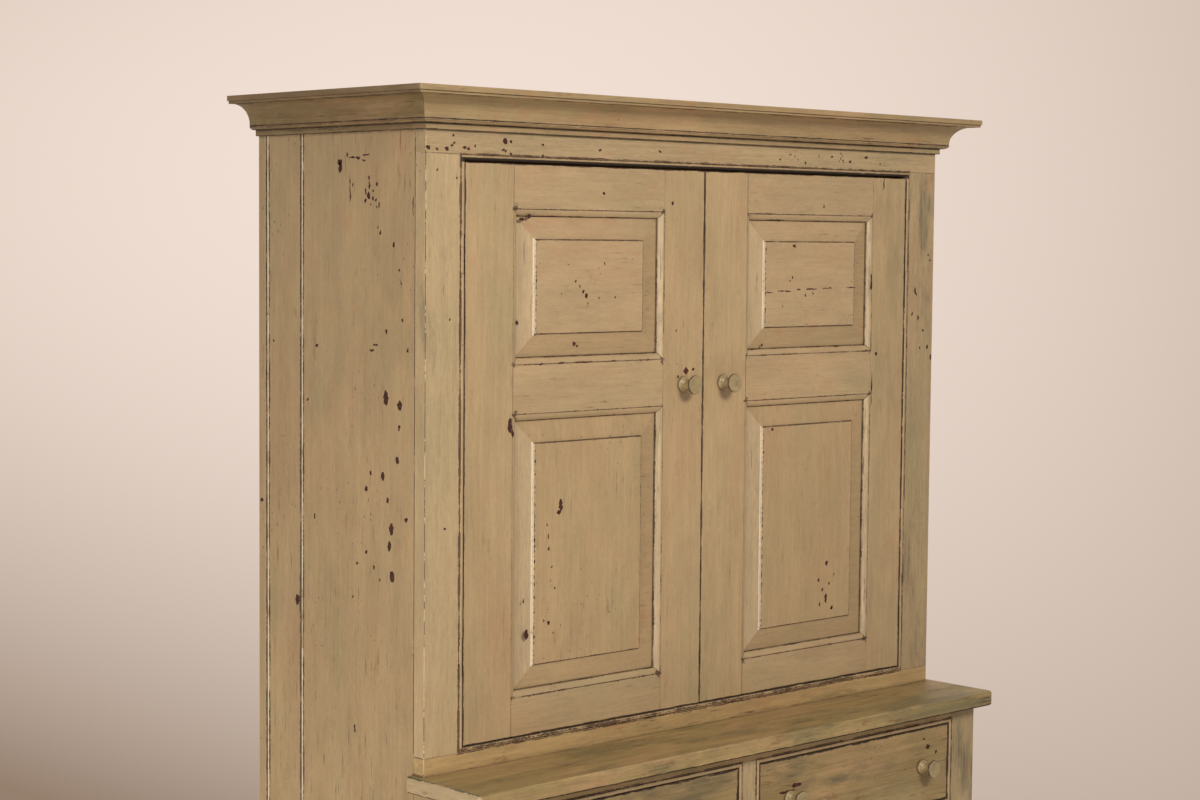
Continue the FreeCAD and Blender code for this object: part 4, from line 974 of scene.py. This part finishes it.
def headsTree():
    # sets a thin head on each point, with the point's own half width and half height
    tree = bpy.data.node_groups.new("headsOnPoints", "GeometryNodeTree")
    face = tree.interface
    face.new_socket("Geometry", in_out="INPUT", socket_type="NodeSocketGeometry")
    ids = {}
    for name, kind in headWay["inputs"].items():
        ids[name] = face.new_socket(name, in_out="INPUT", socket_type="NodeSocket" + kind).identifier
    face.new_socket("Geometry", in_out="OUTPUT", socket_type="NodeSocketGeometry")
    given = tree.nodes.new("NodeGroupInput").outputs
    head = firstOf("GeometryNodeMeshCylinder", {
        "Vertices": headWay["rimPoints"], "Radius": 1.0, "Depth": given["thickness"],
    })
    alongX, alongY = (
        firstOf("GeometryNodeInputNamedAttribute", {"Name": name}, tree, data_type="FLOAT")
        for name in ("alongX", "alongY")
    )
    scale = firstOf("CombineXYZ", {"X": alongX, "Y": alongY, "Z": 1.0})
    points = firstOf("GeometryNodeMeshToPoints", {"Mesh": given["Geometry"]})
    turned = firstOf("FunctionNodeEulerToRotation", {"Euler": given["facing"]})
    inputs = {"Points": points, "Instance": head, "Rotation": turned, "Scale": scale}
    placed = firstOf("GeometryNodeInstanceOnPoints", inputs)
    real = firstOf("GeometryNodeRealizeInstances", {"Geometry": placed})
    # the rim is pushed about within the face only
    where = firstOf("GeometryNodeInputPosition", {}, tree)
    rough = addNode("TexNoise", {"Vector": where, "Scale": headWay["roughScale"], "Detail": 3.0})
    push = pushFrom(rough, given["unevenness"])
    inputs = {"Vector": (0, 0, 1), "Rotation": given["facing"]}
    outward = firstOf("VectorRotate", inputs, rotation_type="EULER_XYZ")
    flat = vectorMaths("SUBTRACT", push, vectorMaths("PROJECT", push, outward))
    moved = firstOf("GeometryNodeSetPosition", {"Geometry": real, "Offset": flat})
    dressed = firstOf("GeometryNodeSetMaterial", {"Geometry": moved, "Material": given["finish"]})
    addNode("NodeGroupOutput", {"Geometry": dressed})
    return tree, ids


headTree, headIds = headsTree()


def heads(name, body, slotName, points, facing, material, thickness, unevenness=0.0):
    # points are (place, half width, half height); on a side the head's own X runs up
    source = bpy.data.meshes.new(name + "_points")
    source.from_pydata([place for place, _, _ in points], [], [])
    for attribute, pick in zip(("alongX", "alongY"), (2, 1) if facing == "left" else (1, 2)):
        values = source.attributes.new(attribute, "FLOAT", "POINT").data
        values.foreach_set("value", [point[pick] for point in points])
    holder = bpy.data.objects.new(name + "_points", source)
    scene.collection.objects.link(holder)
    modifier = holder.modifiers.new("heads", "NODES")
    modifier.node_group = headTree
    settings = {
        "thickness": thickness, "unevenness": unevenness,
        "facing": headWay["turns"][facing], "finish": material,
    }
    for key, value in settings.items():
        modifier[headIds[key]] = value
    bpy.context.view_layer.update()
    depsgraph = bpy.context.evaluated_depsgraph_get()
    mesh = bpy.data.meshes.new_from_object(holder.evaluated_get(depsgraph))
    holder.modifiers.remove(modifier)
    bpy.data.objects.remove(holder)
    addPiece(name, mesh, body, slotName)


chipWay = {"proud": 0.12 * mm, "unevenness": 9.0 * mm}
# chips listed on a board, in millimetres: (across, up, width, height)
chipSpots = {
    "side_chips": ("side_left_main_board", [
        (72, 1804, 14, 9), (70, 1796, 9, 16), (40, 1811, 18, 3), (10, 1805, 8, 3), (25, 1810, 12, 3),
        (5, 1814, 18, 2.5), (53, 1815, 4, 7), (45, 1762, 2.5, 42), (38, 1768, 3.5, 7), (-3, 1778, 4, 8),
        (-4, 1767, 5, 13), (5, 1757, 4, 11), (-2, 1751, 8, 12), (-13, 1758, 4, 6), (-13, 1747, 6, 6),
        (-21, 1744, 4, 5), (-28, 1736, 4, 8), (6, 1743, 4, 6), (-23, 1769, 4, 6), (-7, 1737, 4, 4),
        (-23, 1733, 4, 4), (-65, 1675, 6, 8), (-32, 1694, 4, 8), (-26, 1703, 3, 6), (-79, 1636, 4, 5),
        (-83, 1616, 3, 6), (-47, 1542, 6, 7), (-87, 1560, 5, 6), (-11, 1511, 12, 4), (-19, 1520, 16, 3),
        (132, 1514, 4, 5), (250, 1516, 4, 4), (-100, 1515, 4, 7), (-46, 1439, 12, 22), (-80, 1429, 11, 15),
        (156, 1425, 4, 6), (-79, 1394, 5, 9), (-75, 1344, 9, 12), (-9, 1320, 5, 8), (-39, 1316, 9, 14),
        (3, 1294, 7, 9), (-3, 1277, 3, 5), (-52, 1280, 6, 10), (137, 1239, 6, 8), (-97, 1253, 8, 7),
        (-61, 1236, 11, 19), (-56, 1209, 8, 16), (2, 1194, 8, 6), (26, 1174, 5, 5), (-17, 1172, 4, 5),
        (-63, 1162, 12, 18), (-32, 1154, 3, 5), (184, 1097, 11, 17), (37, 1120, 3, 5), (31, 910, 4, 11),
        (283, 1252, 9, 6), (-112, 1734, 2, 30),
    ]),
    "rail_chips": ("upper_top_rail", [
        (-588, 1821, 7, 5), (-569, 1822, 7, 6), (-533, 1824, 6, 5), (-527, 1823, 5, 4), (-452, 1837, 9, 9),
        (-440, 1837, 5, 5), (-456, 1823, 7, 4), (-450, 1822, 3, 3), (-440, 1818, 4, 5), (-559, 1827, 5, 4),
        (-555, 1831, 4, 3), (-557, 1843, 4, 4), (-513, 1828, 4, 4), (-373, 1834, 5, 4), (-373, 1817, 5, 4),
        (-606, 1823, 6, 6), (-249, 1830, 5, 3), (-113, 1832, 7, 3), (181, 1827, 6, 3), (367, 1829, 7, 4),
        (451, 1827, 5, 4), (412, 1838, 9, 3), (318, 1836, 6, 3),
    ]),
    "stile_chips": ("upper_stile_left", [
        (-549, 1778, 4, 5), (-588, 1789, 3, 4), (-562, 1562, 3, 3), (-570, 1240, 4, 3),
    ]),
    "left_door_chips": ("upper_door_left_rails", [
        (-239, 1760, 5, 5), (-438, 1393, 9, 24), (-432, 1380, 5, 10), (-408, 1113, 3, 7),
        (-401, 1058, 8, 16), (-81, 1748, 4, 7), (-280, 1489, 44, 2.5), (-330, 1489, 14, 2),
        (-214, 1489, 12, 2), (-372, 1488, 9, 2), (-416, 1717, 12, 5), (-400, 1722, 9, 8), (-71, 1536, 3, 4),
        (-64, 1458, 4, 4), (-29, 1470, 5, 4), (-68, 1480, 3, 3),
    ]),
    "left_panel_chips": ("upper_door_left_panels", [
        (-275, 1595, 6, 9), (-281, 1603, 4, 5), (-289, 1610, 4, 4), (-298, 1619, 3, 3), (-271, 1583, 3, 3),
        (-329, 1599, 3, 3), (-234, 1647, 3, 6), (-246, 1592, 4, 4), (-209, 1593, 3, 4), (-313, 1646, 3, 3),
        (-327, 1260, 8, 20), (-331, 1249, 7, 8), (-354, 1212, 2, 8), (-356, 1231, 2, 4), (-345, 1162, 3, 4),
        (-352, 1192, 4, 4), (-352, 1072, 5, 6), (-362, 1076, 3, 4), (-326, 1065, 2, 3), (-342, 1055, 2, 3),
        (-348, 1140, 2, 4), (-338, 1128, 2, 3), (-362, 1112, 2, 3),
    ]),
    "left_bevel_chips": ("upper_door_left_panels", [
        (-297, 1518, 6, 6), (-290, 1515, 4, 3), (-419, 1555, 6, 6),
    ]),
    "right_panel_chips": ("upper_door_right_panels", [
        (143, 1506, 5, 6), (323, 1108, 8, 9), (302, 1080, 6, 7), (322, 1045, 6, 16), (339, 1026, 6, 8),
        (312, 1062, 4, 8), (330, 1072, 4, 5), (306, 1036, 3, 9), (174, 1357, 5, 5), (344, 1086, 3, 8),
    ]),
    "right_upper_chips": ("upper_door_right_panels", [
        (160, 1597, 17, 2), (200, 1599, 36, 2), (237, 1601, 10, 2.5), (272, 1602, 30, 2.2),
        (312, 1603, 26, 1.8), (378, 1604, 26, 1.8), (255, 1591, 4, 5), (221, 1623, 3, 4), (214, 1616, 3, 4),
        (260, 1540, 3, 4), (275, 1594, 3, 4), (224, 1678, 8, 5), (196, 1573, 3, 3),
    ]),
    "rail_right_chips": ("upper_top_rail", [
        (342, 1843, 3, 4), (346, 1839, 3, 3), (341, 1834, 3, 4), (347, 1831, 3, 3), (350, 1827, 3, 3),
        (338, 1829, 3, 3), (208, 1837, 4, 3), (220, 1835, 3, 3), (248, 1823, 4, 3), (283, 1836, 3, 3),
        (228, 1830, 3, 3), (478, 1814, 4, 3),
    ]),
    "right_door_chips": ("upper_door_right_rails", [
        (300, 1747, 4, 5), (449, 1482, 6, 7), (433, 1613, 2.5, 30), (438, 1420, 2.5, 60),
        (464, 1793, 2, 24),
    ]),
    "frame_right_chips": ("upper_stile_right", [
        (558, 1596, 4, 14), (568, 1546, 5, 9), (582, 1523, 4, 6), (596, 1492, 5, 8), (606, 1472, 4, 12),
        (574, 1490, 4, 5), (600, 1653, 5, 5), (594, 1663, 4, 4), (562, 1590, 3, 6), (550, 1554, 3, 6),
    ]),
    "drawer_chips": ("drawer_right_front", [
        (476, 771, 12, 9), (500, 758, 7, 6), (466, 786, 5, 4), (120, 756, 26, 7), (96, 748, 40, 5),
        (60, 716, 8, 6),
    ]),
}
for name, (board, spots) in chipSpots.items():
    axis, facing = (0, "left") if name == "side_chips" else (1, "front")
    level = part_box(board)[0][axis] - chipWay["proud"] / 2
    if name == "left_bevel_chips":
        level += frontWay["bevelBehind"]
    points = []
    for across, up, wide, tall in spots:
        place = Vector((across, across, up)) * mm
        place[axis] = level
        points.append((place, wide * mm / 2, tall * mm / 2))
    heads(name, bodyOf[board], slotOf[board], points, facing, chipWood,
          chipWay["proud"], chipWay["unevenness"])
print("chips laid")

# nails through the back planks, two at each rail height
nailWay = {
    "radius": 3.2 * mm,
    "proud": 0.24 * mm,
    "inset": 32 * mm,
    "heights": (120, 480, 830, 1200, 1560, 1860),
}
nails = []
for points in cornersIn("back_planks"):
    low, high = extent(points)
    for height in nailWay["heights"]:
        for x in (low.x + nailWay["inset"], high.x - nailWay["inset"]):
            nails.append((Vector((x, high.y, height * mm)), nailWay["radius"], nailWay["radius"]))
heads("back_nails", "carcase", "hinge_iron", nails, "back", iron, nailWay["proud"])
print("nails set")

cameraWay = {
    "spot": (-2.8493, -2.8930, 1.6851),
    "yaw": 43.436,      # degrees from +Y towards +X
    "pitch": -3.911,
    "roll": 0.4946,
    "lens": 70.136,
    "sensor": 36,
}


def setCamera():
    yaw, pitch, roll = (math.radians(cameraWay[key]) for key in ("yaw", "pitch", "roll"))
    place = Matrix.Translation(cameraWay["spot"])
    for angle, axis in ((-yaw, "Z"), (math.pi / 2 + pitch, "X"), (roll, "Z")):
        place = place @ Matrix.Rotation(angle, 4, axis)
    data = bpy.data.cameras.new("camera")
    data.lens = cameraWay["lens"]
    data.sensor_width = cameraWay["sensor"]
    camera = bpy.data.objects.new("camera", data)
    scene.collection.objects.link(camera)
    camera.matrix_world = place
    scene.camera = camera


lightWay = {
    "lamps": {
        "key": {"spot": (-0.9, -3.5, 3.1), "size": 1.1, "power": 94},
        "side": {"spot": (-3.5, -0.9, 0.4), "size": 1.4, "power": 62},
        "rear": {"spot": (2.6, 2.8, 1.6), "size": 1.6, "power": 95, "gloss": False},
    },
    "aim": (0, 0, 1.25),
    "lampColour": (1.0, 0.97, 0.93),
    "surround": {"Color": rgb(1.0, 0.975, 0.945), "Strength": 0.30},
    # painted shade on the wall: it darkens away from its palest bearing and height: (palest, reach, least,
    # most)
    "across": (0.694, 0.543, -0.36, 0.60),
    "down": (0.026, -0.314, -0.30, 0.95),
    "wallPale": rgb(0.880, 0.742, 0.650),
    "wallShaded": rgb(0.300, 0.214, 0.156),
    "skew": 1.1,
    # what lies steeply below turns into pale floor
    "floorPale": rgb(0.600, 0.500, 0.420),
    "floorRange": (-0.28, -0.46),
    "ground": rgb(0.640, 0.540, 0.460),
    "groundReach": 2.5,
    "groundFade": (0.45, 0.98),
}


def setLights():
    for name, way in lightWay["lamps"].items():
        data = bpy.data.lights.new(name, "AREA")
        data.shape = "DISK"
        data.size = way["size"]
        data.energy = way["power"]
        data.color = lightWay["lampColour"]
        lamp = bpy.data.objects.new(name, data)
        lamp.visible_glossy = way.get("gloss", True)
        scene.collection.objects.link(lamp)
        spot = Vector(way["spot"])
        aim = (Vector(lightWay["aim"]) - spot).to_track_quat("-Z", "Y")
        lamp.matrix_world = Matrix.Translation(spot) @ aim.to_matrix().to_4x4()


def setSurround():
    # a wall colour with painted shade for what looks straight at it, an even light for the rest
    world = bpy.data.worlds.new("surround")
    scene.world = world
    world.use_nodes = True
    tree = world.node_tree
    direction = addNode("TexCoord", {}, tree).outputs["Generated"]
    parts = addNode("SeparateXYZ", {"Vector": direction}).outputs
    bearing = maths("ARCTAN2", parts["X"], parts["Y"])

    def offPale(angle, palest, reach, least, most):
        scaled = maths("DIVIDE", maths("SUBTRACT", angle, palest), reach)
        return maths("MINIMUM", maths("MAXIMUM", scaled, least), most)

    across = offPale(bearing, *lightWay["across"])
    down = offPale(parts["Z"], *lightWay["down"])
    lean = maths("SUBTRACT", 1.0, product(across, lightWay["skew"]))
    wallShade = total(product(across, across), product(down, down, lean))
    wall = tint(wallShade, lightWay["wallPale"], lightWay["wallShaded"])
    wall = tint(between(parts["Z"], *lightWay["floorRange"]), wall, lightWay["floorPale"])
    backdrop = tree.nodes["Background"]
    plugAll(backdrop, {"Color": wall})
    even = firstOf("Background", lightWay["surround"], tree)
    path = addNode("LightPath", {}, tree).outputs
    seen = chained("MAXIMUM", [path[f"Is {kind} Ray"] for kind in ("Camera", "Glossy", "Transmission")])
    mixed = firstOf("MixShader", {0: seen, 1: even, 2: backdrop.outputs[0]})
    plugAll(tree.nodes["World Output"], {"Surface": mixed})


def setGround():
    # a round floor that fades out before the wall colour
    reach = lightWay["groundReach"]
    mesh = bmesh.new()
    bmesh.ops.create_circle(mesh, cap_ends=True, segments=96, radius=reach)
    data = bpy.data.meshes.new("ground")
    mesh.to_mesh(data)
    mesh.free()
    material, tree, shader = newMaterial("groundFinish")
    plugAll(shader, {"Base Color": lightWay["ground"], "Roughness": 0.9, "Specular IOR Level": 0.1})
    away = addNode("VectorMath", {0: objectPlace(tree)}, operation="LENGTH").outputs["Value"]
    clear = firstOf("BsdfTransparent", {}, tree)
    start, end = lightWay["groundFade"]
    fade = between(away, start * reach, end * reach)
    mixed = firstOf("MixShader", {0: fade, 1: shader.outputs[0], 2: clear})
    plugAll(tree.nodes["Material Output"], {"Surface": mixed})
    data.materials.append(material)
    ground = bpy.data.objects.new("ground", data)
    scene.collection.objects.link(ground)


setCamera()
setLights()
setSurround()
setGround()
scene.view_settings.view_transform = "Standard"
print("camera and light set")
